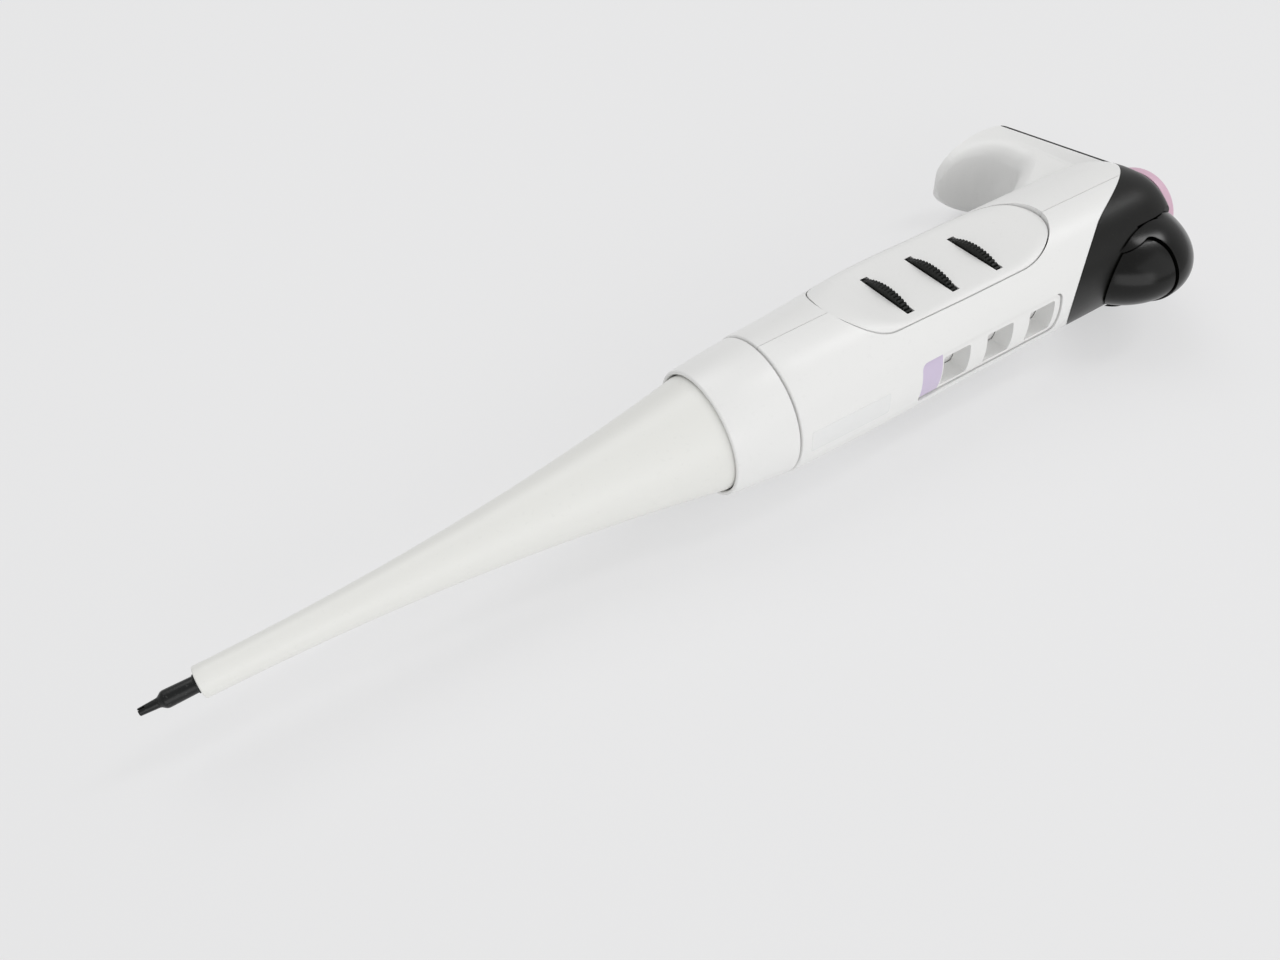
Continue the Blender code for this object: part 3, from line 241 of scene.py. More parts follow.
@dataclass(frozen=True)
class Finish:
    """One surface finish: its colour and gloss, its grain, its mottling, its smudges and its dust."""

    name: str
    slot: Slot
    colour: Colour
    roughness: float
    metallic: float = 0.0
    grain: float = 0.00035
    grain_detail: float = 3.0
    grain_depth: float = 4.0
    relief: float = 0.000010
    relief_strength: float = 0.5
    stretch: tuple[float, float, float] = (1.0, 1.0, 1.0)
    mottle: float = 0.02
    mottle_size: float = 0.018
    mottle_detail: float = 2.0
    smudge: float = 0.08
    smudge_size: float = 0.006
    smudge_detail: float = 3.0
    dust: float = 0.0
    dust_size: float = 0.0009
    dust_rarity: float = 0.66
    dust_colour: Colour = (0.55, 0.55, 0.53)
    dust_roughness: float = 0.3
    specular: float = 0.5

    def shade(self, share: float) -> tuple[float, float, float, float]:
        """The colour made a little lighter or darker, with its alpha."""
        return (*(min(part * (1.0 + share), 1.0) for part in self.colour), 1.0)

    def material(self) -> bpy.types.Material:
        """The material, made once."""
        found = bpy.data.materials.get(f"look_{self.name}")
        if found:
            return found
        made = bpy.data.materials.new(f"look_{self.name}")
        graph = Graph(made)
        shader = graph.shader
        place = graph.node("ShaderNodeTexCoord", {}, {}, "Object")
        grained = graph.node("ShaderNodeMapping", {}, {"Vector": place, "Scale": self.stretch})
        grain = graph.noise(grained, self.grain, self.grain_detail)
        broad = graph.noise(place, self.mottle_size, self.mottle_detail)
        colour = graph.blend(broad, self.shade(-self.mottle), self.shade(self.mottle))
        colour = graph.blend(grain * self.mottle, colour, self.shade(-self.grain_depth * self.mottle))
        smudges = graph.noise(place, self.smudge_size, self.smudge_detail)
        roughness = self.roughness + self.smudge * (smudges - 0.5)
        if self.dust > 0.0:
            dust = graph.specks(place, self.dust_size, self.dust_rarity) * self.dust
            colour = graph.blend(dust, colour, (*self.dust_colour, 1.0))
            roughness = roughness + dust * self.dust_roughness
        graph.feed(shader.inputs["Base Color"], colour)
        graph.feed(shader.inputs["Roughness"], roughness)
        shader.inputs["Metallic"].default_value = self.metallic
        shader.inputs["Specular IOR Level"].default_value = self.specular
        height = {"Height": grain, "Strength": self.relief_strength, "Distance": self.relief}
        graph.feed(shader.inputs["Normal"], graph.node("ShaderNodeBump", {}, height, "Normal"))
        return made


CLEAN_WHITE = {"mottle": 0.008, "dust": 0.05}
HANDLED = {"smudge": 0.10, "dust": 0.008, "dust_size": 0.0005}
FINE_DUST = {"dust_size": 0.0004}
THIN_FILM = {"grain": 0.0002, "relief": 0.000003}

WHITE_SHELL = Finish("moulded_white", Slot.WHITE, (0.84, 0.84, 0.83), 0.36, **CLEAN_WHITE)
WHITE_INLAY = Finish("inlay_white", Slot.WHITE, (0.83, 0.83, 0.82), 0.42, grain=0.00028, **CLEAN_WHITE)
IVORY_SLEEVE = Finish("sleeve_white", Slot.IVORY, (0.82, 0.82, 0.79), 0.40, mottle=0.010, dust=0.06)
CHARCOAL_CAP = Finish("cap_charcoal", Slot.CHARCOAL, (0.0042, 0.0042, 0.0036), 0.32,
                      relief=0.000016, mottle=0.10, specular=0.30, **HANDLED)
GLOSS_BUTTON = Finish("ejector_black", Slot.GLOSS, (0.0030, 0.0030, 0.0026), 0.19,
                      relief=0.000005, mottle=0.08, specular=0.28, **HANDLED)
SATIN_SKIRT = Finish("ejector_satin", Slot.CHARCOAL, (0.0034, 0.0034, 0.0030), 0.22,
                     relief=0.000006, mottle=0.08, specular=0.28, **HANDLED)
NOZZLE_BLACK = Finish("nozzle_black", Slot.NOZZLE, (0.004, 0.005, 0.005), 0.32, grain=0.0004,
                      stretch=(1.0, 0.05, 0.05), mottle=0.10, smudge=0.12, dust=0.06,
                      specular=0.35, **FINE_DUST)
DIAL_BLACK = Finish("dial_black", Slot.DIAL, (0.004, 0.005, 0.004), 0.48,
                    mottle=0.12, dust=0.05, specular=0.30, **FINE_DUST)
PINK_DISC = Finish("plunger_pink", Slot.PINK, (0.70, 0.47, 0.58), 0.40, mottle=0.02, dust=0.05)
BRIGHT_STEEL = Finish("bright_steel", Slot.STEEL, (0.62, 0.62, 0.61), 0.26, metallic=1.0, grain=0.0003,
                      stretch=(0.02, 1.0, 1.0), mottle=0.05)
SEAL_RUBBER = Finish("seal_rubber", Slot.RUBBER, (0.030, 0.030, 0.030), 0.78,
                     relief=0.00002, mottle=0.15, dust=0.1)
LILAC_FILM = Finish("lilac_film", Slot.WHITE, (0.63, 0.55, 0.71), 0.42, mottle=0.03, **THIN_FILM)
BARE_PLATE = Finish("bare_plate", Slot.WHITE, (0.81, 0.815, 0.81), 0.24, mottle=0.02, **THIN_FILM)
DIGIT_INK = Finish("digit_ink", Slot.DIAL, (0.022, 0.022, 0.024), 0.50,
                   grain=0.0001, relief=0.000002, mottle=0.10)


@lru_cache(maxsize=None)
def node_box(node: str) -> tuple[Vector, Vector]:
    """A node's lowest and highest corners at rest, measured once."""
    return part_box(node)


@dataclass(frozen=True)
class Lie:
    """How the pipette lies in the frame: its nose, on the axis, and its roll about that axis."""

    nose: Vector
    roll: float

    @classmethod
    def read(cls) -> "Lie":
        """Take the axis from the round sleeve, and the roll from the plunger, which is off the axis."""
        sleeve = 0.5 * sum(node_box("ejector_sleeve"), Vector())
        offset = 0.5 * sum(node_box("plunger_cap"), Vector()) - sleeve
        nose_x = node_box("nozzle_shaft")[0].x
        return cls(Vector((nose_x, sleeve.y, sleeve.z)), math.atan2(-offset.z, offset.y))

    def matrix(self) -> Matrix:
        """The move from the pipette's own axes into the frame."""
        return Matrix.Translation(self.nose) @ Matrix.Rotation(-self.roll, 4, "X")

    def low(self, node: str) -> float:
        """A node's end towards the nose, along the axis."""
        return node_box(node)[0].x - self.nose.x

    def high(self, node: str) -> float:
        """A node's end towards the plunger, along the axis."""
        return node_box(node)[1].x - self.nose.x


def bezier(start: Point, pull_out: Point, pull_in: Point, end: Point, count: int) -> list[Point]:
    """Points along a cubic curve, without its last one."""
    points = []
    for index in range(count):
        t = index / count
        weights = ((1 - t) ** 3, 3 * t * (1 - t) ** 2, 3 * t * t * (1 - t), t ** 3)
        controls = (start, pull_out, pull_in, end)
        points.append(tuple(sum(w * c[axis] for w, c in zip(weights, controls)) for axis in (0, 1)))
    return points


def bend(start: Point, corner: Point, end: Point, count: int = 10, pull: float = 0.55) -> list[Point]:
    """A rounded corner, leaving the start towards the corner and coming in to the end from it."""
    pulls = [tuple(a + pull * (c - a) for a, c in zip(point, corner)) for point in (start, end)]
    return bezier(start, pulls[0], pulls[1], end, count)


def arc(centre: Point, radii: Point, start: float, stop: float, count: int) -> list[Point]:
    """Points along an elliptic arc between two angles in degrees, both ends included."""
    turns = [math.radians(start + (stop - start) * index / count) for index in range(count + 1)]
    return [(centre[0] + radii[0] * math.cos(turn), centre[1] + radii[1] * math.sin(turn))
            for turn in turns]


def smooth_step(t: float) -> float:
    """A soft rise from 0 to 1."""
    t = min(max(t, 0.0), 1.0)
    return t * t * (3.0 - 2.0 * t)


def soften(corners: Sequence[Place], count: int = 4, most: float = 0.49) -> list[Point]:
    """Round the corners of a closed outline.

    Args:
        corners: each corner's two coordinates and the length that its rounding takes from each side.
        count: the steps in each rounding.
        most: the largest share of a side that one rounding takes.

    Returns:
        The outline's points.
    """
    outline = []
    for index, (x, y, cut) in enumerate(corners):
        if cut <= 0.0:
            outline.append((x, y))
            continue
        corner = Vector((x, y))
        ends = []
        for other in (corners[index - 1], corners[(index + 1) % len(corners)]):
            towards = Vector(other[:2]) - corner
            ends.append(tuple(corner + towards.normalized() * min(cut, most * towards.length)))
        outline += bend(ends[0], (x, y), ends[1], count) + [ends[1]]
    return outline


def plaque(left: float, right: float, half: float, cuts: Point, count: int = 4) -> list[Point]:
    """An (x, z) oblong about the axis, whose left and right corners are rounded by two cuts."""
    left_cut, right_cut = cuts
    corners = [(right, half, right_cut), (left, half, left_cut)]
    corners += [(x, -z, cut) for x, z, cut in reversed(corners)]
    return soften(corners, count)


def stand(name: str, form: bmesh.types.BMesh) -> bpy.types.Object:
    """Use up a bmesh for an object that stands in the scene."""
    mesh = bpy.data.meshes.new(name)
    form.to_mesh(mesh)
    form.free()
    made = bpy.data.objects.new(name, mesh)
    bpy.context.scene.collection.objects.link(made)
    return made


def final_mesh(thing: bpy.types.Object) -> bpy.types.Mesh:
    """The mesh that an object comes to, with its modifiers or its lettering worked out."""
    bpy.context.view_layer.update()
    graph = bpy.context.evaluated_depsgraph_get()
    return bpy.data.meshes.new_from_object(thing.evaluated_get(graph))


class Bench:
    """Where solids are made, carved and finished."""

    def __init__(self, lie: Lie) -> None:
        """Start with no tools on the bench."""
        self.lie = lie
        self.tools: list[bpy.types.Object] = []

    def solid(self, name: str, form: bmesh.types.BMesh) -> bpy.types.Object:
        """Turn a closed bmesh into an object whose faces point outwards."""
        bmesh.ops.remove_doubles(form, verts=form.verts, dist=WELD)
        bmesh.ops.recalc_face_normals(form, faces=form.faces)
        return stand(name, form)

    def tool(self, name: str, form: bmesh.types.BMesh) -> bpy.types.Object:
        """A solid that only carves others, and is cleared away at the end."""
        made = self.solid(name, form)
        self.tools.append(made)
        return made

    def carve(self, piece: bpy.types.Object, tool: bpy.types.Object, how: Carve = Carve.CUT) -> None:
        """Carve a piece with a tool, at once."""
        modifier = piece.modifiers.new("carve", "BOOLEAN")
        modifier.operation = how.value
        modifier.solver = "EXACT"
        modifier.object = tool
        carved = final_mesh(piece)
        piece.modifiers.clear()
        worn = piece.data
        piece.data = carved
        bpy.data.meshes.remove(worn)

    def clear(self) -> None:
        """Take every tool off the bench."""
        for tool in self.tools:
            bpy.data.meshes.remove(tool.data)
        self.tools = []

    def lay(self, piece: bpy.types.Object, finish: Finish, body: str, *nodes: str,
            smooth: float = 32.0) -> None:
        """Finish a piece and lay it in the frame.

        Args:
            piece: the piece, still in the pipette's own axes.
            finish: what its surface looks like.
            body: the body that it rides on.
            nodes: the nodes that it stands for.
            smooth: the angle, in degrees, past which an edge stays sharp.
        """
        piece.data.transform(self.lie.matrix())
        piece.data.shade_smooth()
        piece.data.set_sharp_from_angle(angle=math.radians(smooth))
        piece.data.materials.clear()
        piece.data.materials.append(finish.material())
        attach(piece, body)
        if nodes:
            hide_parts(*nodes)
        LOG.info("%s rides on %s with %d faces", piece.name, body, len(piece.data.polygons))


def ring_pairs(ring: list) -> list[tuple]:
    """Each item of a ring with the one that follows it."""
    return list(zip(ring, ring[1:] + ring[:1]))


def revolve(profile: Sequence[Point], axis_y: float = 0.0, steps: int = ROUND_TURN) -> bmesh.types.BMesh:
    """Spin a closed (x, radius) profile about a line along x."""
    form = bmesh.new()
    verts = [form.verts.new((x, radius, 0.0)) for x, radius in profile]
    pairs = ring_pairs(verts)
    edges = [form.edges.new(pair) for pair in pairs if pair[0].co.y > WELD or pair[1].co.y > WELD]
    bmesh.ops.spin(form, geom=verts + edges, cent=(0.0, 0.0, 0.0), axis=(1.0, 0.0, 0.0),
                   angle=2.0 * math.pi, steps=steps, use_merge=True)
    bmesh.ops.remove_doubles(form, verts=form.verts, dist=WELD)
    bmesh.ops.translate(form, verts=form.verts, vec=(0.0, axis_y, 0.0))
    return form


def rod(x_low: float, x_high: float, radius: float) -> list[Point]:
    """The profile of a plain round bar."""
    return [(x_low, 0.0), (x_low, radius), (x_high, radius), (x_high, 0.0)]


def thicken(form: bmesh.types.BMesh, faces: list[bmesh.types.BMFace], along: Place) -> None:
    """Sweep flat faces straight along a vector, which makes them a solid."""
    swept = bmesh.ops.extrude_face_region(form, geom=faces)["geom"]
    moved = [item for item in swept if isinstance(item, bmesh.types.BMVert)]
    bmesh.ops.translate(form, verts=moved, vec=along)


def prism(outline: Sequence[Place], along: Place) -> bmesh.types.BMesh:
    """A flat outline swept straight along a vector."""
    form = bmesh.new()
    face = form.faces.new([form.verts.new(point) for point in outline])
    thicken(form, [face], along)
    return form


def side_prism(outline: Sequence[Point], half_width: float) -> bmesh.types.BMesh:
    """An (x, y) outline swept through the pipette from side to side."""
    return prism([(x, y, -half_width) for x, y in outline], (0.0, 0.0, 2.0 * half_width))


def front_prism(outline: Sequence[Point], y_low: float, y_high: float) -> bmesh.types.BMesh:
    """An (x, z) outline swept from one depth to another."""
    return prism([(x, y_low, z) for x, z in outline], (0.0, y_high - y_low, 0.0))


def block(low: Sequence[float], high: Sequence[float]) -> bmesh.types.BMesh:
    """A box between two corners."""
    form = bmesh.new()
    bmesh.ops.create_cube(form, size=1.0)
    bmesh.ops.scale(form, vec=[b - a for a, b in zip(low, high)], verts=form.verts)
    bmesh.ops.translate(form, vec=[0.5 * (a + b) for a, b in zip(low, high)], verts=form.verts)
    return form


def loft(sections: Sequence[Section]) -> bmesh.types.BMesh:
    """A solid skinned over closed sections that have equally many points."""
    form = bmesh.new()
    loops = []
    for section in sections:
        verts = [form.verts.new(point) for point in section]
        loops.append([form.edges.new(pair) for pair in ring_pairs(verts)])
    for lower, upper in zip(loops, loops[1:]):
        bmesh.ops.bridge_loops(form, edges=lower + upper)
    bmesh.ops.contextual_create(form, geom=loops[0])
    bmesh.ops.contextual_create(form, geom=loops[-1])
    return form


def wrap(form: bmesh.types.BMesh, radius: Callable[[float], float], stride: float,
         coarse: int = 4) -> bmesh.types.BMesh:
    """Bend a flat film round the front of a form that is turned about the x axis.

    Args:
        form: the film, drawn in x and z with its thickness along -y.
        radius: the turned form's radius at each place along x.
        stride: how closely the film is divided round the form before it bends.
        coarse: how many strides a division along x takes.

    Returns:
        The same film, bent.
    """
    reach = int(max(abs(vert.co.z) for vert in form.verts) / stride)
    left = int(min(vert.co.x for vert in form.verts) / stride) + 1
    right = int(max(vert.co.x for vert in form.verts) / stride) + 1
    cuts = [((0.0, 0.0, index * stride), (0.0, 0.0, 1.0)) for index in range(-reach, reach + 1)]
    cuts += [((index * stride, 0.0, 0.0), (1.0, 0.0, 0.0)) for index in range(left, right, coarse)]
    for place, facing in cuts:
        parts = form.verts[:] + form.edges[:] + form.faces[:]
        bmesh.ops.bisect_plane(form, geom=parts, dist=WELD, plane_co=place, plane_no=facing)
    for vert in form.verts:
        turn = vert.co.z / radius(vert.co.x)
        out = radius(vert.co.x) - vert.co.y
        vert.co = Vector((vert.co.x, -out * math.cos(turn), out * math.sin(turn)))
    return form


@dataclass
class LowerEnd:
    """The nozzle shaft, the sleeve that ejects the tip, and the collar nut above them."""

    bench: Bench
    nose_radius: float = 0.0007
    nose_length: float = 0.0033
    nose_draft: float = 0.0002
    nose_bore: float = 0.0004
    slot_width: float = 0.0004
    slot_depth: float = 0.0012
    shoulder: float = 0.0009
    barrel_radius: float = 0.00163
    barrel_draft: float = 0.0001
    ring_radius: float = 0.00175
    ring_length: float = 0.0010
    root_radius: float = 0.00454
    hub_length: float = 0.0033
    rod_bore: float = 0.0026
    rod_bore_depth: float = 0.0365
    seal_radius: float = 0.0023
    seal_room: float = 0.0071
    piston_bore: float = 0.0010
    piston_bore_start: float = 0.0142
    nose_edge: float = 0.00012
    shoulder_low_edge: float = 0.00024
    shoulder_top_edge: float = 0.00036
    nose_smooth: float = 25.0
    mouth_radius: float = 0.0030
    sleeve_radius: float = 0.0124
    sleeve_wall: float = 0.0009
    sleeve_edge: float = 0.00035
    collar_low_radius: float = 0.0136
    collar_top_radius: float = 0.0150
    collar_edge: float = 0.00045
    collar_lip: float = 0.0019
    collar_lip_radius: float = 0.0090
    stations: int = 48

    def flare(self, x: float) -> float:
        """The sleeve's outside, a parabola from its mouth to the collar."""
        mouth = self.bench.lie.low("ejector_sleeve")
        share = min((x - mouth) / (self.bench.lie.low("collar_nut") - mouth), 1.0)
        return self.mouth_radius + (self.sleeve_radius - self.mouth_radius) * share * share

    def build_nozzle(self) -> None:
        """The black shaft, of which the stepped nose shows."""
        lie = self.bench.lie
        mouth = lie.low("ejector_sleeve")
        collar = lie.low("collar_nut")
        hub_top = lie.high("nozzle_shaft")
        hub = hub_top - self.hub_length
        ring = mouth - 0.5 * self.ring_length
        cone_start = ring + self.ring_length
        edge = self.nose_edge
        shoulder = self.nose_length + self.shoulder
        corners = [(0.0, self.nose_bore, 0.0), (0.0, self.nose_radius, edge),
                   (self.nose_length, self.nose_radius + self.nose_draft, self.shoulder_low_edge),
                   (shoulder, self.barrel_radius, self.shoulder_top_edge),
                   (ring, self.barrel_radius - self.barrel_draft, 0.0), (ring, self.ring_radius, edge)]
        for index in range(self.stations + 1):
            share = index / self.stations
            swell = (self.root_radius - self.ring_radius) * share * share
            corners.append((cone_start + (collar - cone_start) * share, self.ring_radius + swell, 0.0))
        seal_top = hub_top - self.rod_bore_depth
        seal_low = seal_top - self.seal_room
        bore_start = self.piston_bore_start
        corners += [(hub, self.root_radius, 0.0), (hub, HUB_RADIUS, edge), (hub_top, HUB_RADIUS, edge),
                    (hub_top, self.rod_bore, 0.0), (seal_top, self.rod_bore, 0.0),
                    (seal_top, self.seal_radius, 0.0), (seal_low, self.seal_radius, 0.0),
                    (seal_low, self.piston_bore, 0.0), (bore_start, self.piston_bore, 0.0),
                    (bore_start, self.nose_bore, 0.0)]
        nozzle = self.bench.solid("nozzle", revolve(soften(corners), steps=SLIM_TURN))
        half = 0.5 * self.slot_width
        slot = block((-FAR, -half, -FAR), (self.slot_depth, half, FAR))
        self.bench.carve(nozzle, self.bench.tool("nose_slot", slot))
        rod_low, rod_high = node_box("ejector_rod")
        off_y = 0.5 * (rod_low.y + rod_high.y) - lie.nose.y
        off_z = 0.5 * (rod_low.z + rod_high.z) - lie.nose.z
        rod_radius = 0.5 * (rod_high.y - rod_low.y) + RUNNING_GAP
        hole = revolve(rod(collar, hub_top + FAR, rod_radius), -math.hypot(off_y, off_z), HOLE_TURN)
        self.bench.carve(nozzle, self.bench.tool("rod_hole", hole))
        self.bench.lay(nozzle, NOZZLE_BLACK, Body.HANDLE.value, "nozzle_shaft", smooth=self.nose_smooth)

    def build_sleeve(self) -> None:
        """The long flared sleeve."""
        lie = self.bench.lie
        mouth = lie.low("ejector_sleeve")
        collar = lie.low("collar_nut")
        top = lie.high("ejector_sleeve")
        seat = lie.low("ejector_yoke") - CLEARANCE
        edge = self.sleeve_edge
        steps = [mouth + (collar - mouth) * index / self.stations
                 for index in range(1, self.stations + 1)]
        corners = [(mouth, self.mouth_radius, edge)] + [(x, self.flare(x), 0.0) for x in steps]
        guide_bore = self.sleeve_radius - self.sleeve_wall
        seat_bore = guide_bore - self.sleeve_wall
        corners += [(top, self.sleeve_radius, edge), (top, guide_bore, 0.0), (seat, guide_bore, 0.0),
                    (seat, seat_bore, 0.0), (collar, seat_bore, 0.0)]
        inside = [(x, self.flare(x) - self.sleeve_wall) for x in reversed(steps)]
        corners += [(x, radius, 0.0) for x, radius in inside if radius < seat_bore]
        corners.append((mouth, self.mouth_radius - self.sleeve_wall, edge))
        sleeve = self.bench.solid("sleeve", revolve(soften(corners), steps=FINE_TURN))
        self.bench.lay(sleeve, IVORY_SLEEVE, Body.EJECTOR.value, "ejector_sleeve")

    def build_collar(self) -> None:
        """The tapered nut that holds the nozzle to the handle."""
        low = self.bench.lie.low("collar_nut")
        top = self.bench.lie.high("collar_nut")
        bore = self.sleeve_radius + RUNNING_GAP
        edge = self.collar_edge
        lip = top - self.collar_lip
        corners = [(low, bore, 0.5 * edge), (low, self.collar_low_radius, edge),
                   (top, self.collar_top_radius, edge), (top, self.collar_lip_radius, 0.0),
                   (lip, self.collar_lip_radius, 0.0), (lip, bore, 0.0)]
        collar = self.bench.solid("collar", revolve(soften(corners), steps=FINE_TURN))
        self.bench.lay(collar, WHITE_SHELL, Body.HANDLE.value, "collar_nut")

    def build(self) -> None:
        """Make the three pieces."""
        self.build_nozzle()
        self.build_sleeve()
        self.build_collar()


@dataclass
class HandleForm:
    """The outside that the shells and the cap share, with the finger hook and the seam between them."""

    lie: Lie
    radius: float = 0.0152
    back_swell: float = 0.0034
    swell_length: float = 0.0450
    barrel: float = 0.0003
    back_fullness: float = 2.3
    low_edge: float = 0.00035
    shoulder_length: float = 0.0090
    shoulder_inset: float = 0.0028
    cap_slope: float = 1.62
    seam_gap: float = 0.0005
    tail_thickness: float = 0.0010
    tail_drop: float = 0.110
    bend_y: float = -0.0081
    bend_pull: float = 0.0030
    shoulder_y: float = 0.0003
    settle_y: float = 0.0090
    overrun: float = 0.0100
    hook_root_y: float = 0.0050
    hook_reach: float = 0.0386
    hook_flare: float = 0.0020
    root_half_width: float = 0.0130
    lip_half_width: float = 0.0110
    lip_drop: float = 0.0174
    lip_thickness: float = 0.0024
    tongue_rise: float = 0.0014
    corner_round: float = 0.0024
    roof_thickness: float = 0.0080
    land_start: float = 0.0250
    land_length: float = 0.0040
    saddle_drop: float = 0.0150
    lip_edge: float = 0.0016
    roof_edge: float = 0.0050
    edge_share: float = 0.8
    gap_sections: int = 80
    sides: int = 96
    stations: int = 26
    shoulder_stations: int = 10
    low_edge_steps: int = 4
    hook_steps: int = 24
    tongue_steps: int = 56
    seam_steps: int = 40

    def handle_x(self) -> float:
        """The handle's end at the collar."""
        return self.lie.low("front_shell")

    def cap_x(self) -> float:
        """Where the cap's seam stands at the front."""
        return self.lie.low("top_cap") - self.seam_gap

    def cap_top(self) -> float:
        """The cap's end at the plunger."""
        return self.lie.high("plunger_guide") + CLEARANCE

    def seam_x(self, y: float) -> float:
        """Where the slanted seam stands at a depth."""
        return self.cap_x() + self.cap_slope * (y + self.radius)

    def tail_x(self, y: float) -> float:
        """Where the seam stands over the hook, which drops gently towards its lip."""
        return self.cap_top() - self.tail_thickness - self.tail_drop * (y - PLUNGER_Y)

    def swell_share(self, x: float) -> float:
        """How much of the handle's swelling has come at a place."""
        return min(max((x - self.handle_x()) / self.swell_length, 0.0), 1.0)

    def front(self, x: float) -> float:
        """The radius of the handle's front at a place."""
        return self.radius + self.barrel * math.sin(math.pi * self.swell_share(x))

    def back(self, x: float) -> float:
        """How far the handle's back stands from the axis at a place."""
        return self.front(x) + self.back_swell * smooth_step(self.swell_share(x))

    def fullness(self, x: float) -> float:
        """The power of the back's curve, which is fuller than an ellipse where the handle has swollen."""
        return ELLIPSE + (self.back_fullness - ELLIPSE) * smooth_step(self.swell_share(x))

    def surface(self, x: float, y: float) -> float:
        """How high the handle's side stands at a place and a depth."""
        power = self.fullness(x) if y > 0.0 else ELLIPSE
        reach = self.back(x) if y > 0.0 else self.front(x)
        return self.front(x) * max(1.0 - abs(y / reach) ** power, 0.0) ** (1.0 / power)

    def ring(self, x: float, inset: float = 0.0) -> Section:
        """One section: round in front, fuller and deeper behind."""
        points = []
        for side in range(self.sides):
            angle = 2.0 * math.pi * side / self.sides
            behind = math.cos(angle) > 0.0
            reach = (self.back(x) if behind else self.front(x)) - inset
            bulge = ELLIPSE / (self.fullness(x) if behind else ELLIPSE)
            y = math.copysign(abs(math.cos(angle)) ** bulge, math.cos(angle))
            z = math.copysign(abs(math.sin(angle)) ** bulge, math.sin(angle))
            points.append((x, reach * y, (self.front(x) - inset) * z))
        return points

    def body(self) -> bmesh.types.BMesh:
        """The whole outside, from the collar up to the rounded shoulder of the cap."""
        low = self.handle_x()
        shoulder_x = self.cap_top() - self.shoulder_length
        low_arc = arc((0.0, 0.0), (self.low_edge, self.low_edge), 0.0, 90.0, self.low_edge_steps)
        edge = [(low + self.low_edge - x, self.low_edge - inset) for x, inset in low_arc]
        run = shoulder_x - low - self.low_edge
        middle = [(low + self.low_edge + run * index / self.stations, 0.0)
                  for index in range(1, self.stations)]
        shoulder = arc((shoulder_x, self.shoulder_inset), (self.shoulder_length, -self.shoulder_inset),
                       90.0, 0.0, self.shoulder_stations)
        return loft([self.ring(x, inset) for x, inset in edge + middle + shoulder])

    def tip_x(self) -> float:
        """The hook's lowest point."""
        return self.tail_x(self.hook_reach) - self.lip_drop

    def hook_half_width(self, x: float, y: float) -> float:
        """Half the width, at a place in its side view, of the hook, a tongue that tapers to its lip."""
        drop = self.lip_drop + self.tongue_rise
        half = self.root_half_width + (self.lip_half_width - self.root_half_width) * y / self.hook_reach
        share = min(max((self.tip_x() + drop - x) / drop, 0.0), 1.0)
        return half * math.sqrt(1.0 - share * share)

    def finger_edge(self) -> list[tuple[Point, float]]:
        """The finger gap from the hook's tip over its roof to the back, with each place's rounding."""
        tip_x = self.tip_x()
        tip_y = self.hook_reach + self.hook_flare
        tip_round = 0.5 * self.lip_thickness
        inner_y = tip_y - self.lip_thickness
        roof_x = self.tail_x(self.land_start) - self.roof_thickness
        land_end = self.land_start + self.land_length
        back = self.radius + self.back_swell
        saddle = (roof_x - self.saddle_drop, back)
        tip = bend((tip_x, tip_y - tip_round), (tip_x, inner_y), (tip_x + tip_round, inner_y))
        lip = bend((tip_x + tip_round, inner_y), (roof_x, inner_y - self.hook_flare), (roof_x, land_end),
                   self.hook_steps)
        root = [(roof_x, land_end)]
        root += bend((roof_x, self.land_start), (roof_x, back), saddle, self.hook_steps) + [saddle]
        edge = [(point, self.lip_edge) for point in tip]
        for index, point in enumerate(lip):
            share = smooth_step(index / len(lip))
            edge.append((point, self.lip_edge + (self.roof_edge - self.lip_edge) * share))
        return edge + [(point, self.roof_edge) for point in root]

    def finger_gap(self) -> bmesh.types.BMesh:
        """The room under the hook, flared at both sides so that the hook's lower edges come out round."""
        edge = self.finger_edge()
        points = [Vector(point) for point, _ in edge]
        low_x = points[-1].x - self.lip_thickness
        reach = self.root_half_width + self.lip_thickness
        sections = []
        for step in range(self.gap_sections + 1):
            z = reach * (2.0 * step / self.gap_sections - 1.0)
            section = []
            for index, (point, (_, rounding)) in enumerate(zip(points, edge)):
                along = points[min(index + 1, len(points) - 1)] - points[max(index - 1, 0)]
                into_hook = Vector((-along.y, along.x)).normalized()
                half = max(self.hook_half_width(*(point + into_hook * rounding)), self.lip_thickness)
                rounding = min(rounding, self.edge_share * half)
                depth = min(max((abs(z) - half) / rounding + 1.0, 0.0), 1.0)
                moved = point + into_hook * rounding * (1.0 - math.sqrt(1.0 - depth * depth))
                section.append((moved.x, moved.y, z))
            sections.append(section + [(low_x, section[-1][1], z), (low_x, section[0][1], z)])
        return loft(sections)

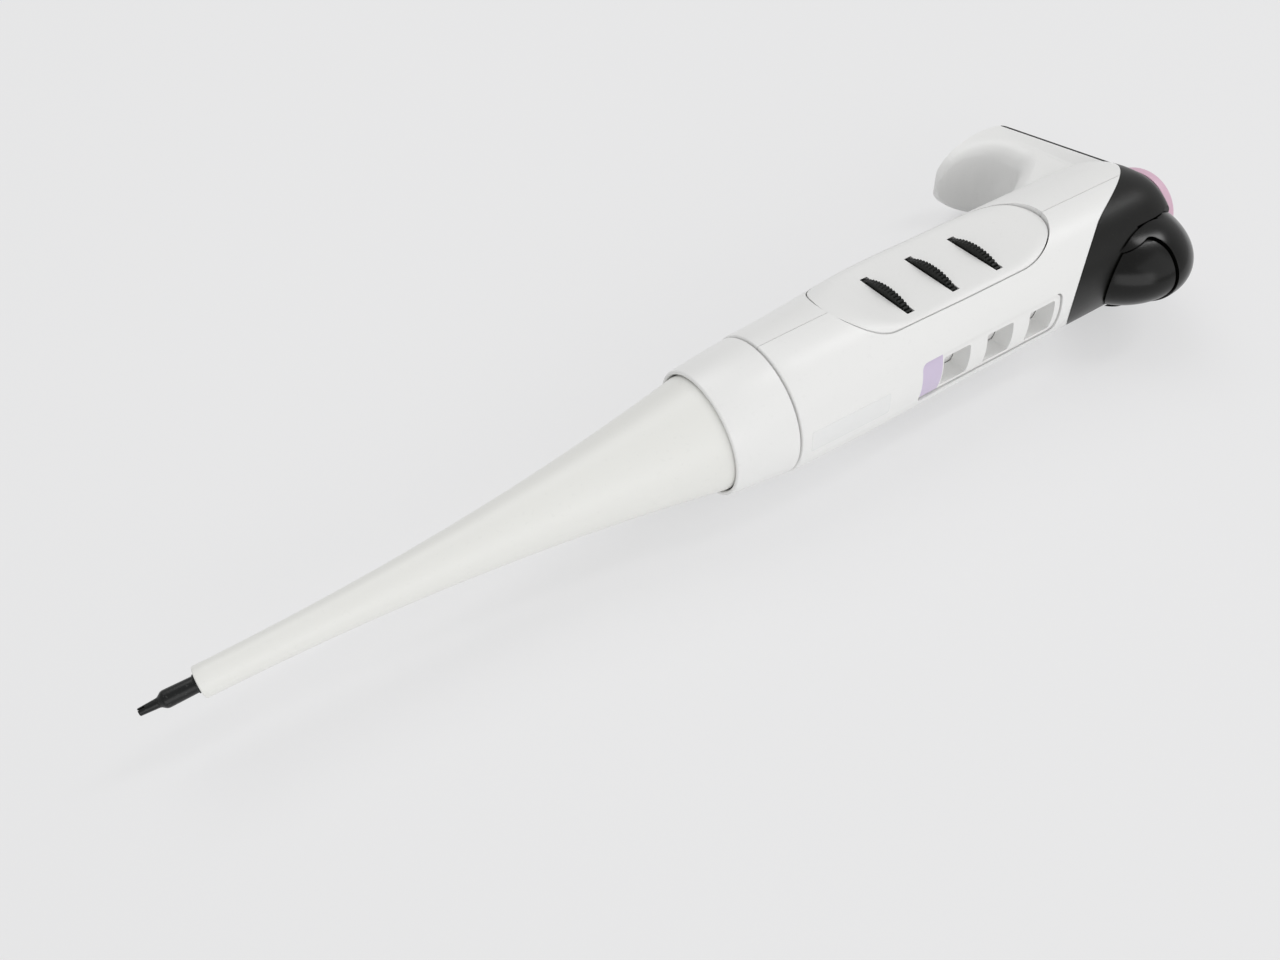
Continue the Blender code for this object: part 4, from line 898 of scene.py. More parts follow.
    def hook(self, bench: Bench) -> bpy.types.Object:
        """The finger hook: a tongue seen from behind, hollowed by the finger gap."""
        corner_x = self.tail_x(self.hook_reach) + self.tail_thickness
        tip_x = self.tip_x()
        tip_y = self.hook_reach + self.hook_flare
        tip_round = 0.5 * self.lip_thickness
        back = self.radius + self.back_swell
        saddle_x = self.finger_edge()[-1][0][0]
        round_y = self.hook_reach - self.corner_round
        outline = [(self.tail_x(self.hook_root_y) + self.tail_thickness, self.hook_root_y)]
        outline += bend((self.tail_x(round_y) + self.tail_thickness, round_y),
                        (corner_x, self.hook_reach), (corner_x - self.corner_round, self.hook_reach))
        outline += bend((corner_x - self.corner_round, self.hook_reach),
                        (tip_x + 0.5 * self.lip_drop, tip_y), (tip_x + tip_round, tip_y))
        outline += bend((tip_x + tip_round, tip_y), (tip_x, tip_y), (tip_x, tip_y - tip_round))
        outline += [(tip_x, tip_y - tip_round), (tip_x, back), (saddle_x, back)]
        outline.append((saddle_x, self.hook_root_y))
        hook = bench.tool("hook", side_prism(outline, self.root_half_width + CLEARANCE))
        drop = self.lip_drop + self.tongue_rise
        tongues = []
        for y, half in ((0.0, self.root_half_width), (self.hook_reach, self.lip_half_width)):
            curve = arc((tip_x + drop, 0.0), (drop, half), 90.0, 270.0, self.tongue_steps)
            curve = [(self.cap_top() + FAR, half)] + curve + [(self.cap_top() + FAR, -half)]
            tongues.append([(x, y, z) for x, z in curve])
        tongues.append([(x, y + FAR, z) for x, y, z in tongues[-1]])
        bench.carve(hook, bench.tool("tongue", loft(tongues)), Carve.KEEP)
        bench.carve(hook, bench.tool("finger_gap", self.finger_gap()))
        return hook

    def above_seam(self, shift: float) -> bmesh.types.BMesh:
        """Everything above the seam: a slant in front, an S bend, then the line over the hook."""
        front_y = -self.radius - self.overrun
        back_y = self.hook_reach + self.hook_flare + self.overrun
        pull_y = self.bend_y + self.bend_pull
        far_x = self.cap_top() + FAR
        settled = (self.tail_x(self.settle_y), self.settle_y)
        outline = [(far_x, front_y), (self.seam_x(front_y), front_y)]
        outline += bezier((self.seam_x(self.bend_y), self.bend_y), (self.seam_x(pull_y), pull_y),
                          (self.tail_x(self.shoulder_y), self.shoulder_y), settled, self.seam_steps)
        outline += [settled, (self.tail_x(back_y), back_y), (far_x, back_y)]
        return side_prism([(x + shift, y) for x, y in outline], FAR)


@dataclass
class Handle:
    """The two shells, the top cap, the dial panels and the display frame."""

    bench: Bench
    form: HandleForm
    parting: float = 0.00012
    lower_cavity: float = 0.0104
    dial_cavity: float = 0.0130
    upper_cavity: float = 0.0124
    lip_radius: float = 0.009845
    lip_length: float = 0.0010
    ledge: float = 0.0017
    ledge_bore: float = 0.0090
    panel_middle_y: float = 0.00205
    panel_half_width: float = 0.01145
    panel_setback: float = 0.0018
    panel_low_end: float = 0.0100
    panel_top_end: float = 0.0148
    panel_sink: float = 0.0029
    panel_low_rim: float = -0.00005
    panel_top_rim: float = 0.0011
    panel_low_ramp: float = 0.0150
    panel_top_ramp: float = 0.0170
    panel_blend: float = 0.0008
    panel_back: float = 0.0100
    panel_gap: float = 0.00030
    panel_end_steps: int = 48
    panel_face_steps: int = 40
    slot_gap: float = 0.00025
    window_gap: float = 0.0002
    display_half_height: float = 0.0048
    display_corner: float = 0.0014
    display_corner_steps: int = 8
    window_offset: float = 0.0043
    window_length: float = 0.0071
    window_half_height: float = 0.0035
    window_corner: float = 0.0003
    window_flare: float = 0.0002
    window_floor: float = -0.0094
    notch_half_width: float = 0.0100
    notch_back_y: float = -0.0098
    notch_x: float = 0.0216
    arm_slot_run: float = 0.0051
    seam_line: float = 0.00015

    def __post_init__(self) -> None:
        """Make the tools that the shells and the cap share."""
        bench = self.bench
        far_x = self.form.cap_top() + FAR
        half = 0.5 * self.parting
        self.front_half = bench.tool("front_half", block((0.0, -FAR, -FAR), (far_x, half, FAR)))
        self.rear_half = bench.tool("rear_half", block((0.0, -half, -FAR), (far_x, FAR, FAR)))
        self.hook = self.form.hook(bench)
        self.seam = bench.tool("seam", self.form.above_seam(self.form.seam_gap - self.seam_line))
        self.cap_room = bench.tool("cap_room", self.form.above_seam(self.form.seam_gap))
        self.dial_room = bench.tool("dial_room", self.dial_room_form())
        well_x = bench.lie.low("plunger_guide") - CLEARANCE
        well = rod(well_x, far_x, GUIDE_RADIUS + CLEARANCE)
        self.guide_well = bench.tool("guide_well", revolve(well, PLUNGER_Y, FINE_TURN))

    def dials(self) -> list[Point]:
        """Where each dial wheel begins and ends."""
        names = [f"dial_wheel_{number}" for number in DIAL_NUMBERS]
        return [(self.bench.lie.low(name), self.bench.lie.high(name)) for name in names]

    def dial_room_form(self) -> bmesh.types.BMesh:
        """The room inside the shells for the dials, the ejector arm and the plunger guide's ledge."""
        lie = self.bench.lie
        wheel = DIAL_RADIUS + RUNNING_GAP
        seat = DRUM_RADIUS + CLEARANCE
        low_seat = lie.low("dial_spindle") - CLEARANCE
        shelf = lie.high("dial_spindle") + CLEARANCE
        lip_end = shelf + self.lip_length
        guide_seat = lie.low("plunger_guide")
        ledge_x = guide_seat - CLEARANCE - self.ledge
        profile = [(low_seat, 0.0), (low_seat, seat)]
        for index, (low, high) in enumerate(self.dials()):
            room = seat if index == 0 else self.dial_cavity
            low = low - RUNNING_GAP
            high = high + RUNNING_GAP
            profile += [(low, room), (low, wheel), (high, wheel), (high, self.dial_cavity)]
        room_high = lie.high("digit_drum_3") + RUNNING_GAP
        profile += [(room_high, self.dial_cavity), (room_high, seat), (shelf, seat),
                    (shelf, self.lip_radius), (lip_end, self.lip_radius), (lip_end, self.upper_cavity),
                    (ledge_x, self.upper_cavity), (ledge_x, self.ledge_bore),
                    (guide_seat, self.ledge_bore), (guide_seat, 0.0)]
        return revolve(profile, DIAL_AXIS_Y)

    def lower_room_form(self) -> bmesh.types.BMesh:
        """The room for the nozzle's hub and the ejector spring."""
        low = self.form.handle_x() - CLEARANCE
        hub_seat = self.bench.lie.high("nozzle_shaft") + CLEARANCE
        top = self.bench.lie.low("dial_spindle")
        hub = HUB_RADIUS + CLEARANCE
        return revolve([(low, 0.0), (low, hub), (hub_seat, hub), (hub_seat, self.lower_cavity),
                        (top, self.lower_cavity), (top, 0.0)])

    def wheel_slots_form(self) -> bmesh.types.BMesh:
        """A ring round each wheel on a common core, which slots the panels and the display frame."""
        core = DRUM_RADIUS + self.window_gap
        wheel = DIAL_RADIUS + RUNNING_GAP
        low_end = self.form.handle_x()
        high_end = self.form.cap_top()
        profile = [(low_end, 0.0), (low_end, core)]
        for low, high in self.dials():
            low = low - self.slot_gap
            high = high + self.slot_gap
            profile += [(low, core), (low, wheel), (high, wheel), (high, core)]
        profile += [(high_end, core), (high_end, 0.0)]
        return revolve(profile, DIAL_AXIS_Y, FINEST_TURN)

    def panel_ends(self) -> Point:
        """The panel's two ends along the axis."""
        lie = self.bench.lie
        return (lie.low("dial_panel_left") + self.panel_setback, lie.high("dial_panel_left"))

    def panel_prism(self, margin: float, depth: float, side: Side) -> bmesh.types.BMesh:
        """The panel's outline, with a half ellipse at each end, swept outwards from a depth."""
        low, top = self.panel_ends()
        half = self.panel_half_width + margin
        middle = self.panel_middle_y
        outline = arc((low + self.panel_low_end, middle), (self.panel_low_end + margin, half),
                      270.0, 90.0, self.panel_end_steps)
        outline += arc((top - self.panel_top_end, middle), (self.panel_top_end + margin, half),
                       90.0, -90.0, self.panel_end_steps)
        points = [(x, y, side.value * depth) for x, y in outline]
        return prism(points, (0.0, 0.0, side.value * FAR))

    def panel_face(self, x: float, y: float) -> float:
        """The height of the panel's face: scooped flat across the dials, and rising to its two ends."""
        low, top = self.panel_ends()
        low_rise = 1.0 - smooth_step((x - low) / self.panel_low_ramp)
        top_rise = 1.0 - smooth_step((top - x) / self.panel_top_ramp)
        flat = self.form.radius - self.panel_sink
        flat += (self.panel_sink - self.panel_low_rim) * low_rise
        flat += (self.panel_sink - self.panel_top_rim) * top_rise
        round_side = self.form.surface(x, y)
        share = min(max(0.5 + 0.5 * (round_side - flat) / self.panel_blend, 0.0), 1.0)
        return round_side + (flat - round_side) * share - self.panel_blend * share * (1.0 - share)

    def panel_under(self, side: Side) -> bmesh.types.BMesh:
        """Everything under the panel's face."""
        low, top = self.panel_ends()
        reach = self.panel_half_width + CLEARANCE
        shares = [index / self.panel_face_steps for index in range(self.panel_face_steps + 1)]
        across = [self.panel_middle_y + reach * (2.0 * share - 1.0) for share in shares]
        sections = []
        for share in shares:
            x = low - CLEARANCE + (top - low + 2.0 * CLEARANCE) * share
            face = [(x, y, side.value * self.panel_face(x, y)) for y in across]
            sections.append(face + [(x, across[-1], 0.0), (x, across[0], 0.0)])
        return loft(sections)

    def display_outline(self, margin: float) -> list[Point]:
        """The display frame's outline, with rounded corners."""
        low = self.bench.lie.low("display_frame") - margin
        high = self.bench.lie.high("display_frame") + margin
        cuts = (self.display_corner, self.display_corner)
        return plaque(low, high, self.display_half_height + margin, cuts, self.display_corner_steps)

    def build_shells(self) -> None:
        """The front and rear halves, parted along the sides; the rear one carries the hook."""
        bench = self.bench
        lower_room = bench.tool("lower_room", self.lower_room_form())
        depth = self.panel_back - CLEARANCE
        pockets = [bench.tool("pocket", self.panel_prism(self.panel_gap, depth, side)) for side in Side]
        opening = front_prism(self.display_outline(self.panel_gap), -FAR, self.window_floor)
        hole = bench.tool("display_hole", opening)
        front = bench.solid("handle_front", self.form.body())
        rear = bench.solid("handle_rear", self.form.body())
        bench.carve(front, self.rear_half)
        bench.carve(rear, self.hook, Carve.JOIN)
        bench.carve(rear, self.front_half)
        for shell in (front, rear):
            for tool in (self.seam, lower_room, self.dial_room, self.guide_well, *pockets):
                bench.carve(shell, tool)
        bench.carve(front, hole)
        bench.lay(front, WHITE_SHELL, Body.HANDLE.value, "front_shell")
        bench.lay(rear, WHITE_SHELL, Body.HANDLE.value, "rear_shell")

    def build_cap(self) -> None:
        """The dark cap, with the notch that the ejector button moves in."""
        bench = self.bench
        cap = bench.solid("cap", self.form.body())
        bench.carve(cap, self.hook, Carve.JOIN)
        bench.carve(cap, self.cap_room, Carve.KEEP)
        bench.carve(cap, self.dial_room)
        bench.carve(cap, self.guide_well)
        notch_x = self.form.cap_x() + self.notch_x
        top = self.form.cap_top() + FAR
        notch = block((notch_x, -FAR, -self.notch_half_width),
                      (top, self.notch_back_y, self.notch_half_width))
        bench.carve(cap, bench.tool("notch", notch))
        slot_low = bench.lie.low("plunger_guide") - self.arm_slot_run
        slot_half = ARM_HALF_WIDTH + RUNNING_GAP
        slot = block((slot_low, ARM_FRONT_Y - RUNNING_GAP, -slot_half),
                     (notch_x + self.ledge, self.notch_back_y, slot_half))
        bench.carve(cap, bench.tool("arm_slot", slot))
        bench.lay(cap, CHARCOAL_CAP, Body.HANDLE.value, "top_cap")

    def build_panels(self) -> None:
        """The inlaid panels on both sides, slotted for the wheels."""
        bench = self.bench
        slots = bench.tool("wheel_slots", self.wheel_slots_form())
        for side, name, node in ((Side.UPPER, "panel_upper", "dial_panel_left"),
                                 (Side.LOWER, "panel_lower", "dial_panel_right")):
            panel = bench.solid(name, self.panel_prism(0.0, self.panel_back, side))
            bench.carve(panel, bench.tool("panel_under", self.panel_under(side)), Carve.KEEP)
            bench.carve(panel, slots)
            bench.lay(panel, WHITE_INLAY, Body.HANDLE.value, node)

    def window_form(self, left: float) -> bmesh.types.BMesh:
        """One window, whose walls open out towards the front."""
        sections = []
        for y, flare in ((-self.form.radius, self.window_flare), (-DRUM_RADIUS, 0.0), (0.0, 0.0)):
            cut = self.window_corner + flare
            outline = plaque(left - flare, left + self.window_length + flare,
                             self.window_half_height + flare, (cut, cut))
            sections.append([(x, y, z) for x, z in outline])
        return loft(sections)

    def build_display(self) -> None:
        """The frame in front, with one window beside each dial."""
        bench = self.bench
        display = bench.solid("display", front_prism(self.display_outline(0.0), -FAR, self.window_floor))
        bar = rod(self.form.handle_x(), self.form.cap_top(), self.form.radius - DISPLAY_RECESS)
        face = bench.tool("display_face", revolve(bar, steps=FINEST_TURN))
        bench.carve(display, face, Carve.KEEP)
        bench.carve(display, bench.tool("display_slots", self.wheel_slots_form()))
        for low, _ in self.dials():
            bench.carve(display, bench.tool("window", self.window_form(low + self.window_offset)))
        bench.lay(display, WHITE_INLAY, Body.HANDLE.value, "display_frame")

    def build(self) -> None:
        """Make the shells, the cap, the panels and the display."""
        self.build_shells()
        self.build_cap()
        self.build_panels()
        self.build_display()


@dataclass
class Films:
    """The plain colour tab beside the windows and the bare plate lower down."""

    bench: Bench
    form: HandleForm
    thickness: float = 0.00006
    sunk: float = 0.00002
    tab_length: float = 0.0054
    tab_margin: float = 0.00025
    tab_half_height: float = 0.0047
    tab_corner: float = 0.0013
    tab_corner_steps: int = 8
    plate_start: float = 0.0023
    plate_length: float = 0.0196
    plate_half_height: float = 0.0026
    plate_corner: float = 0.0004
    stride: float = 0.0004

    def film(self, name: str, outline: Sequence[Point], radius: Callable[[float], float],
             finish: Finish) -> None:
        """One film on the front of the handle."""
        form = front_prism(outline, self.sunk, self.sunk - self.thickness)
        film = self.bench.solid(name, wrap(form, radius, self.stride))
        self.bench.lay(film, finish, Body.HANDLE.value)

    def build(self) -> None:
        """Make both films."""
        left = self.bench.lie.low("display_frame") + self.tab_margin
        cuts = (self.tab_corner, 0.0)
        tab = plaque(left, left + self.tab_length, self.tab_half_height, cuts, self.tab_corner_steps)
        self.film("volume_tab", tab, lambda x: self.form.radius - DISPLAY_RECESS, LILAC_FILM)
        left = self.form.handle_x() + self.plate_start
        cuts = (self.plate_corner, self.plate_corner)
        plate = plaque(left, left + self.plate_length, self.plate_half_height, cuts)
        self.film("plate", plate, self.form.front, BARE_PLATE)


@dataclass
class Dials:
    """The three thumb wheels with their digit drums."""

    bench: Bench
    bore: float = 0.009245
    teeth: int = 96
    tooth_depth: float = 0.00036
    tooth_land: float = 0.42
    tooth_smooth: float = 20.0
    drum_edge: float = 0.0002
    digit_height: float = 0.0038
    digit_thickness: float = 0.00004
    digit_sunk: float = 0.00001
    digit_place: float = 0.0078
    digit_count: int = 10
    digit_steps: int = 6
    figure_share: float = 0.73
    first_digits: tuple[int, ...] = (1, 2, 5)
    stride: float = 0.0003

    def wheel_form(self, low: float, high: float) -> bmesh.types.BMesh:
        """A ring whose rim is cut into teeth."""
        form = bmesh.new()
        inner = []
        outer = []
        rise = 0.5 - 0.5 * self.tooth_land
        for tooth in range(self.teeth):
            for share, height in ((0.0, 0.0), (rise, 1.0), (1.0 - rise, 1.0)):
                turn = 2.0 * math.pi * (tooth + share) / self.teeth
                radius = DIAL_RADIUS - self.tooth_depth * (1.0 - height)
                for ring, reach in ((outer, radius), (inner, self.bore)):
                    place = (low, reach * math.cos(turn), reach * math.sin(turn))
                    ring.append(form.verts.new(place))
        loops = [form.edges.new(pair) for ring in (inner, outer) for pair in ring_pairs(ring)]
        faces = bmesh.ops.bridge_loops(form, edges=loops)["faces"]
        thicken(form, faces, (high - low, 0.0, 0.0))
        bmesh.ops.translate(form, verts=form.verts, vec=(0.0, DIAL_AXIS_Y, 0.0))
        return form

    def digit_film(self, digit: int) -> bmesh.types.BMesh:
        """One digit as a thin film on the front of a drum, upright when the pipette stands upright."""
        curve = bpy.data.curves.new("digit", "FONT")
        curve.body = str(digit)
        curve.size = self.digit_height / self.figure_share
        curve.align_x = "CENTER"
        curve.resolution_u = self.digit_steps
        holder = bpy.data.objects.new("digit", curve)
        bpy.context.scene.collection.objects.link(holder)
        flat = final_mesh(holder)
        bpy.data.objects.remove(holder)
        bpy.data.curves.remove(curve)
        film = bmesh.new()
        film.from_mesh(flat)
        bpy.data.meshes.remove(flat)
        bmesh.ops.remove_doubles(film, verts=film.verts, dist=WELD)
        turned = Matrix(((0.0, 1.0, 0.0, -0.5 * self.digit_height), (0.0, 0.0, -1.0, self.digit_sunk),
                         (-1.0, 0.0, 0.0, 0.0), (0.0, 0.0, 0.0, 1.0)))
        bmesh.ops.transform(film, matrix=turned, verts=film.verts)
        thicken(film, film.faces[:], (0.0, -self.digit_thickness, 0.0))
        bmesh.ops.recalc_face_normals(film, faces=film.faces)
        return wrap(film, lambda x: DRUM_RADIUS, self.stride)

    def digits_form(self, drum_x: float, first: int) -> bmesh.types.BMesh:
        """The digits of one drum.

        Args:
            drum_x: the middle of the digits along the axis.
            first: the digit that faces the window.

        Returns:
            All the digits, as thin films round the drum.
        """
        form = bmesh.new()
        place = Matrix.Translation((drum_x, DIAL_AXIS_Y, 0.0))
        for step in range(self.digit_count):
            film = self.digit_film((first + step) % self.digit_count)
            around = Matrix.Rotation(2.0 * math.pi * step / self.digit_count, 4, "X")
            bmesh.ops.transform(film, matrix=place @ around, verts=film.verts)
            placed = bpy.data.meshes.new("digit")
            film.to_mesh(placed)
            film.free()
            form.from_mesh(placed)
            bpy.data.meshes.remove(placed)
        return form

    def build(self) -> None:
        """Make each wheel, its drum and its digits."""
        lie = self.bench.lie
        for number, first in zip(DIAL_NUMBERS, self.first_digits):
            body = f"dial_{number}"
            low = lie.low(f"dial_wheel_{number}")
            high = lie.high(f"dial_wheel_{number}")
            wheel = self.bench.solid(f"thumb_wheel_{number}", self.wheel_form(low, high))
            self.bench.lay(wheel, DIAL_BLACK, body, f"dial_wheel_{number}", smooth=self.tooth_smooth)
            drum_low = lie.low(f"digit_drum_{number}")
            drum_high = lie.high(f"digit_drum_{number}")
            edge = self.drum_edge
            corners = [(drum_low, self.bore, 0.0), (drum_low, DRUM_RADIUS, edge),
                       (drum_high, DRUM_RADIUS, edge), (drum_high, self.bore, 0.0)]
            drum = self.bench.solid(f"drum_{number}", revolve(soften(corners), DIAL_AXIS_Y))
            self.bench.lay(drum, WHITE_INLAY, body, f"digit_drum_{number}")
            films = self.digits_form(low + self.digit_place, first)
            digits = self.bench.solid(f"drum_digits_{number}", films)
            self.bench.lay(digits, DIGIT_INK, body)


@dataclass
class EjectorButton:
    """The thumb button that ejects the tip: a glossy head over a satin skirt."""

    bench: Bench
    form: HandleForm
    middle_x: float = 0.0250
    middle_y: float = -0.0050
    front: float = 0.0184
    rise: float = 0.0149
    fall: float = 0.0172
    half_width: float = 0.0109
    back_y: float = -0.0102
    block_half_width: float = 0.0096
    block_x: float = 0.0280
    split_x: float = 0.0241
    skirt_inset: float = 0.0004
    skirt_margin: float = 0.0013
    skirt_taper: float = 0.295
    skirt_corner: float = 0.0035
    skirt_steps: int = 12
    groove: float = 0.0006
    arm_socket: float = 0.0040
    sides: int = 96
    rings: int = 64

    def lobe(self, name: str, inset: float) -> bpy.types.Object:
        """The bulb, fuller below its middle than above."""
        form = bmesh.new()
        bmesh.ops.create_uvsphere(form, u_segments=self.sides, v_segments=self.rings, radius=1.0)
        middle = Vector((self.form.cap_x() + self.middle_x, self.middle_y, 0.0))
        for vert in form.verts:
            along = self.rise if vert.co.x > 0.0 else self.fall
            reach = Vector((along - inset, self.front - inset, self.half_width - inset))
            vert.co = middle + vert.co * reach
        return self.bench.solid(name, form)

    def skirt_outline(self, margin: float) -> list[Point]:
        """The skirt from in front: sides that draw in towards the nose, and rounded upper corners."""
        top = self.form.cap_x() + self.split_x + margin
        half = self.half_width - self.skirt_margin + margin
        low = self.form.cap_x() + self.middle_x - self.fall - CLEARANCE
        corner = self.skirt_corner
        flank = [(low, half - self.skirt_taper * (top - low))]
        flank += bend((top - corner, half - self.skirt_taper * corner), (top, half), (top, half - corner),
                      self.skirt_steps)
        flank += [(top, half - corner)]
        return flank + [(x, -z) for x, z in reversed(flank)]

    def build(self) -> None:
        """Make the head and the skirt, both cut to the round of the cap."""
        bench = self.bench
        low = self.form.handle_x()
        top = self.form.cap_top() + FAR
        block_x = self.form.cap_x() + self.block_x
        bar = rod(low, top, self.form.radius + RUNNING_GAP)
        keepout = bench.tool("cap_keepout", revolve(bar, steps=FINEST_TURN))
        room = block((block_x, -FAR, -self.block_half_width),
                     (top + FAR, self.back_y, self.block_half_width))
        bench.carve(keepout, bench.tool("block_room", room))
        behind = bench.tool("behind", block((low, self.back_y, -FAR), (top, FAR, FAR)))
        head = self.lobe("ejector_head", 0.0)
        skirt = self.lobe("ejector_skirting", self.skirt_inset)
        for piece in (head, skirt):
            bench.carve(piece, keepout)
            bench.carve(piece, behind)
        skirt_room = front_prism(self.skirt_outline(0.5 * self.groove), -FAR, FAR)
        bench.carve(head, bench.tool("skirt_room", skirt_room))
        socket = block((low, ARM_FRONT_Y - CLEARANCE, -ARM_HALF_WIDTH - CLEARANCE),
                       (block_x + self.arm_socket + CLEARANCE, FAR, ARM_HALF_WIDTH + CLEARANCE))
        bench.carve(head, bench.tool("arm_socket", socket))
        skirt_trim = front_prism(self.skirt_outline(-0.5 * self.groove), -FAR, FAR)
        bench.carve(skirt, bench.tool("skirt_trim", skirt_trim), Carve.KEEP)
        bench.lay(head, GLOSS_BUTTON, Body.EJECTOR.value, "ejector_button")
        bench.lay(skirt, SATIN_SKIRT, Body.EJECTOR.value, "ejector_skirt")


@dataclass
class Plunger:
    """The plunger's button, the pink disc on it and the guide that it slides in."""

    bench: Bench
    button_radius: float = 0.0099
    button_wall: float = 0.0024
    button_web: float = 0.0011
    button_edge: float = 0.0004
    disc_radius: float = 0.0101
    disc_edge: float = 0.0009
    disc_edge_steps: int = 8
    disc_low_edge: float = 0.00012
    dish: float = 0.0006
    dish_share: float = 0.75
    dish_steps: int = 4
    guide_bore: float = 0.0103
    guide_floor: float = 0.0015
    guide_edge: float = 0.0003
    rod_hole: float = 0.0019

    def turned(self, name: str, corners: Sequence[Place], steps: int = 4) -> bpy.types.Object:
        """A piece turned about the plunger's axis, whose edges are rounded in a few steps."""
        return self.bench.solid(name, revolve(soften(corners, steps), PLUNGER_Y, FINE_TURN))

    def build_button(self) -> None:
        """The dark button, hollow from below."""
        low = self.bench.lie.low("plunger_button")
        top = self.bench.lie.high("plunger_button")
        web = top - self.button_web
        bore = self.button_radius - self.button_wall
        edge = self.button_edge
        corners = [(low, bore, 0.0), (low, self.button_radius, edge), (top, self.button_radius, edge),
                   (top, 0.0, 0.0), (web, 0.0, 0.0), (web, bore, 0.0)]
        button = self.turned("thumb_button", corners)
        self.bench.lay(button, CHARCOAL_CAP, Body.PLUNGER.value, "plunger_button")

    def build_disc(self) -> None:
        """The pink disc, with a shallow dish for the thumb."""
        low = self.bench.lie.low("plunger_cap")
        top = self.bench.lie.high("plunger_cap")
        dish_radius = self.dish_share * self.disc_radius
        corners = [(low, 0.0, 0.0), (low, self.disc_radius, self.disc_low_edge),
                   (top, self.disc_radius, self.disc_edge), (top, dish_radius, 0.0)]
        for step in range(1, self.dish_steps + 1):
            share = 1.0 - step / self.dish_steps
            corners.append((top - self.dish * (1.0 - share * share), dish_radius * share, 0.0))
        disc = self.turned("plunger_disc", corners, self.disc_edge_steps)
        self.bench.lay(disc, PINK_DISC, Body.PLUNGER.value, "plunger_cap")

    def build_guide(self) -> None:
        """The cup in the cap that the button slides in, with a hole for the rod."""
        low = self.bench.lie.low("plunger_guide")
        top = self.bench.lie.high("plunger_guide")
        floor = low + self.guide_floor
        edge = self.guide_edge
        corners = [(low, 0.0, 0.0), (low, GUIDE_RADIUS, 0.0), (top, GUIDE_RADIUS, edge),
                   (top, self.guide_bore, edge), (floor, self.guide_bore, 0.0), (floor, 0.0, 0.0)]
        guide = self.turned("guide", corners)
        hole = revolve(rod(low - FAR, top, self.rod_hole), steps=SLIM_TURN)
        self.bench.carve(guide, self.bench.tool("rod_hole", hole))
        self.bench.lay(guide, CHARCOAL_CAP, Body.HANDLE.value, "plunger_guide")

    def build(self) -> None:
        """Make the three turned pieces."""
        self.build_button()
        self.build_disc()
        self.build_guide()


class Works:
    """The inner pieces that keep their own solids and only get their finishes."""

    finishes = {
        SEAL_RUBBER: ("piston_seal",),
        BRIGHT_STEEL: ("seal_retainer", "plunger_rod", "stop_collar", "piston", "ejector_rod",
                       "ejector_clip"),
        CHARCOAL_CAP: ("dial_spindle", "ejector_arm", "ejector_yoke"),
    }

    def dress(self) -> None:
        """Give each inner piece its finish."""
        for finish, nodes in self.finishes.items():
            for node in nodes:
                for slot in frame["nodes"][node].material_slots:
                    slot.material = finish.material()
                LOG.info("%s keeps its solid", node)


class Springs:
    """The springs, each laid as a steel copy of its coil on the handle."""

    axis = (1.0, 0.0, 0.0)

    def build(self) -> None:
        """Lay a coil for each spring that the record names."""
        for joint in frame["record"]["behaviour"]["joints"]:
            for spring in joint.get("deforming_nodes", ()):
                stroke = max(joint["range_m"])
                self.lay_coil(spring["node"], spring["fixed_end_x_m"], stroke)

    def lay_coil(self, node: str, seat: float, stroke: float) -> None:
        """Lay one coil.

        Args:
            node: the spring's solid, whose form the coil takes.
            seat: where along x the fixed end stands.
            stroke: how far that joint moves.
        """
        coil = bpy.data.objects.new(f"{node}_coil", frame["nodes"][node].data.copy())
        bpy.context.scene.collection.objects.link(coil)
        coil.data.materials.clear()
        coil.data.materials.append(BRIGHT_STEEL.material())
        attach(coil, Body.HANDLE.value)
        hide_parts(node)
        length = max(abs(corner[0] - seat) for corner in node_box(node))
        1.0 - stroke / length
        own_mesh(coil)
        LOG.info("%s shortens from %.4f by %.4f", coil.name, length, stroke)


def facing(place: Vector, aim: Vector) -> Matrix:
    """Where a lamp or a camera stands, turned towards its aim."""
    look = (aim - place).to_track_quat("-Z", "Y")
    return Matrix.Translation(place) @ look.to_matrix().to_4x4()


@dataclass(frozen=True)
class Lamp:
    """An oblong soft lamp that points at the middle of the floor."""

    name: str
    place: Place
    size: tuple[float, float]
    power: float

    def build(self) -> None:
        """Hang the lamp."""
        lamp = bpy.data.lights.new(self.name, "AREA")
        lamp.shape = "RECTANGLE"
        lamp.size, lamp.size_y = self.size
        lamp.energy = self.power
        holder = bpy.data.objects.new(self.name, lamp)
        holder.matrix_world = facing(Vector(self.place), Vector())
        bpy.context.scene.collection.objects.link(holder)


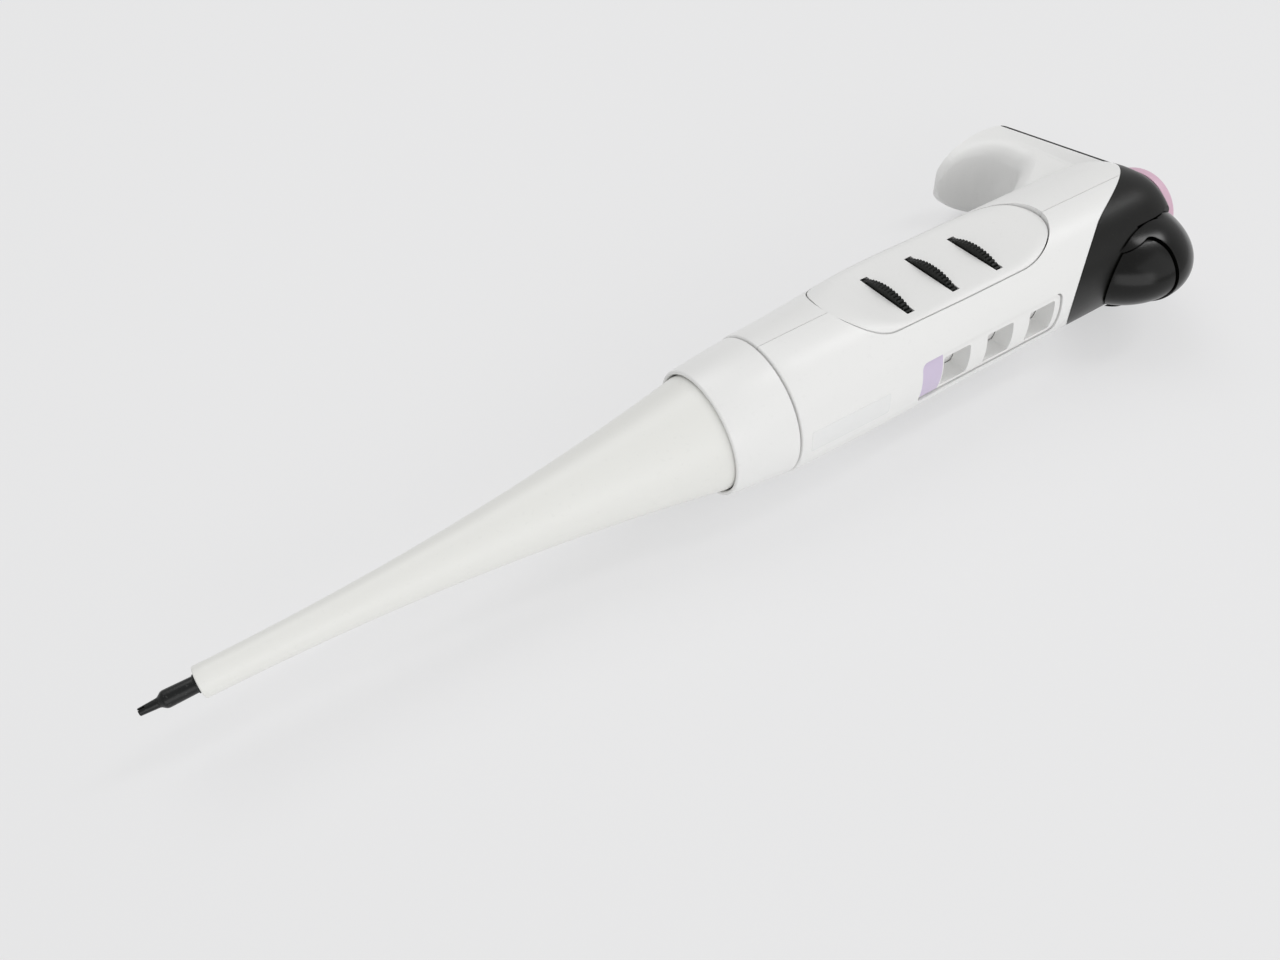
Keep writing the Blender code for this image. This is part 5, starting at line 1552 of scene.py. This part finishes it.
@dataclass
class Studio:
    """The floor, the light and the camera."""

    floor_half: float = 1.5
    floor_segments: int = 4
    floor_colour: Colour = (0.825, 0.825, 0.83)
    floor_dimming: float = 0.985
    floor_cloud: float = 0.12
    floor_detail: float = 2.0
    floor_roughness: float = 0.55
    floor_glow: float = 0.66
    world_strength: float = 0.52
    lamps: tuple[Lamp, ...] = (
        Lamp("front", (0.40, -0.80, 0.62), (0.90, 0.90), 1.4),
        Lamp("fill", (-0.30, -1.00, 0.28), (1.10, 0.80), 4.0),
        Lamp("key", (0.55, -0.06, 0.76), (0.11, 0.46), 1.2),
        Lamp("back", (0.00, 0.60, 0.85), (0.60, 0.60), 2.4),
    )
    eye: Place = (-0.08545, -0.11127, 0.16477)
    aim: Place = (-0.01952, -0.00217, 0.0)
    tilt: float = -1.217
    lens: float = 27.60
    nearest: float = 0.01

    def build_floor(self) -> None:
        """A plain pale sheet under the pipette."""
        form = bmesh.new()
        segments = self.floor_segments
        bmesh.ops.create_grid(form, x_segments=segments, y_segments=segments, size=self.floor_half)
        floor = stand("floor", form)
        made = bpy.data.materials.new("pale_sheet")
        graph = Graph(made)
        place = graph.node("ShaderNodeTexCoord", {}, {}, "Object")
        bright = (*self.floor_colour, 1.0)
        dim = (*(part * self.floor_dimming for part in self.floor_colour), 1.0)
        clouds = graph.noise(place, self.floor_cloud, self.floor_detail)
        graph.feed(graph.shader.inputs["Base Color"], graph.blend(clouds, dim, bright))
        graph.shader.inputs["Roughness"].default_value = self.floor_roughness
        seen, mirrored, through = [graph.node("ShaderNodeLightPath", {}, {}, f"Is {ray} Ray")
                                   for ray in ("Camera", "Glossy", "Transmission")]
        shown = (seen + mirrored + through) * self.floor_glow
        glow = graph.node("ShaderNodeEmission", {}, {"Color": bright})
        lit = Socket(graph, graph.shader.outputs[0])
        mixed = graph.node("ShaderNodeMixShader", {}, {0: shown, 1: lit, 2: glow})
        graph.feed(graph.tree.nodes["Material Output"].inputs["Surface"], mixed)
        floor.data.materials.append(made)

    def build_light(self) -> None:
        """An even bright room with soft lamps above."""
        world = bpy.data.worlds.new("room")
        world.use_nodes = True
        room = world.node_tree.nodes["Background"]
        room.inputs["Color"].default_value = (1.0, 1.0, 1.0, 1.0)
        room.inputs["Strength"].default_value = self.world_strength
        bpy.context.scene.world = world
        for lamp in self.lamps:
            lamp.build()

    def build_camera(self) -> None:
        """A camera at the photograph's place."""
        camera = bpy.data.cameras.new("camera")
        camera.lens = self.lens
        camera.clip_start = self.nearest
        holder = bpy.data.objects.new("camera", camera)
        tilt = Matrix.Rotation(math.radians(self.tilt), 4, "Z")
        holder.matrix_world = facing(Vector(self.eye), Vector(self.aim)) @ tilt
        bpy.context.scene.collection.objects.link(holder)
        bpy.context.scene.camera = holder

    def build(self) -> None:
        """Set the stage."""
        bpy.context.scene.view_settings.view_transform = "Standard"
        self.build_floor()
        self.build_light()
        self.build_camera()


def main() -> None:
    """Build every sub-assembly in order."""
    logging.basicConfig(level=logging.INFO, format="%(name)s: %(message)s")
    bench = Bench(Lie.read())
    form = HandleForm(bench.lie)
    Studio().build()
    LowerEnd(bench).build()
    Handle(bench, form).build()
    Films(bench, form).build()
    Dials(bench).build()
    EjectorButton(bench, form).build()
    Plunger(bench).build()
    Works().dress()
    Springs().build()
    bench.clear()


if __name__ == "__main__":
    main()
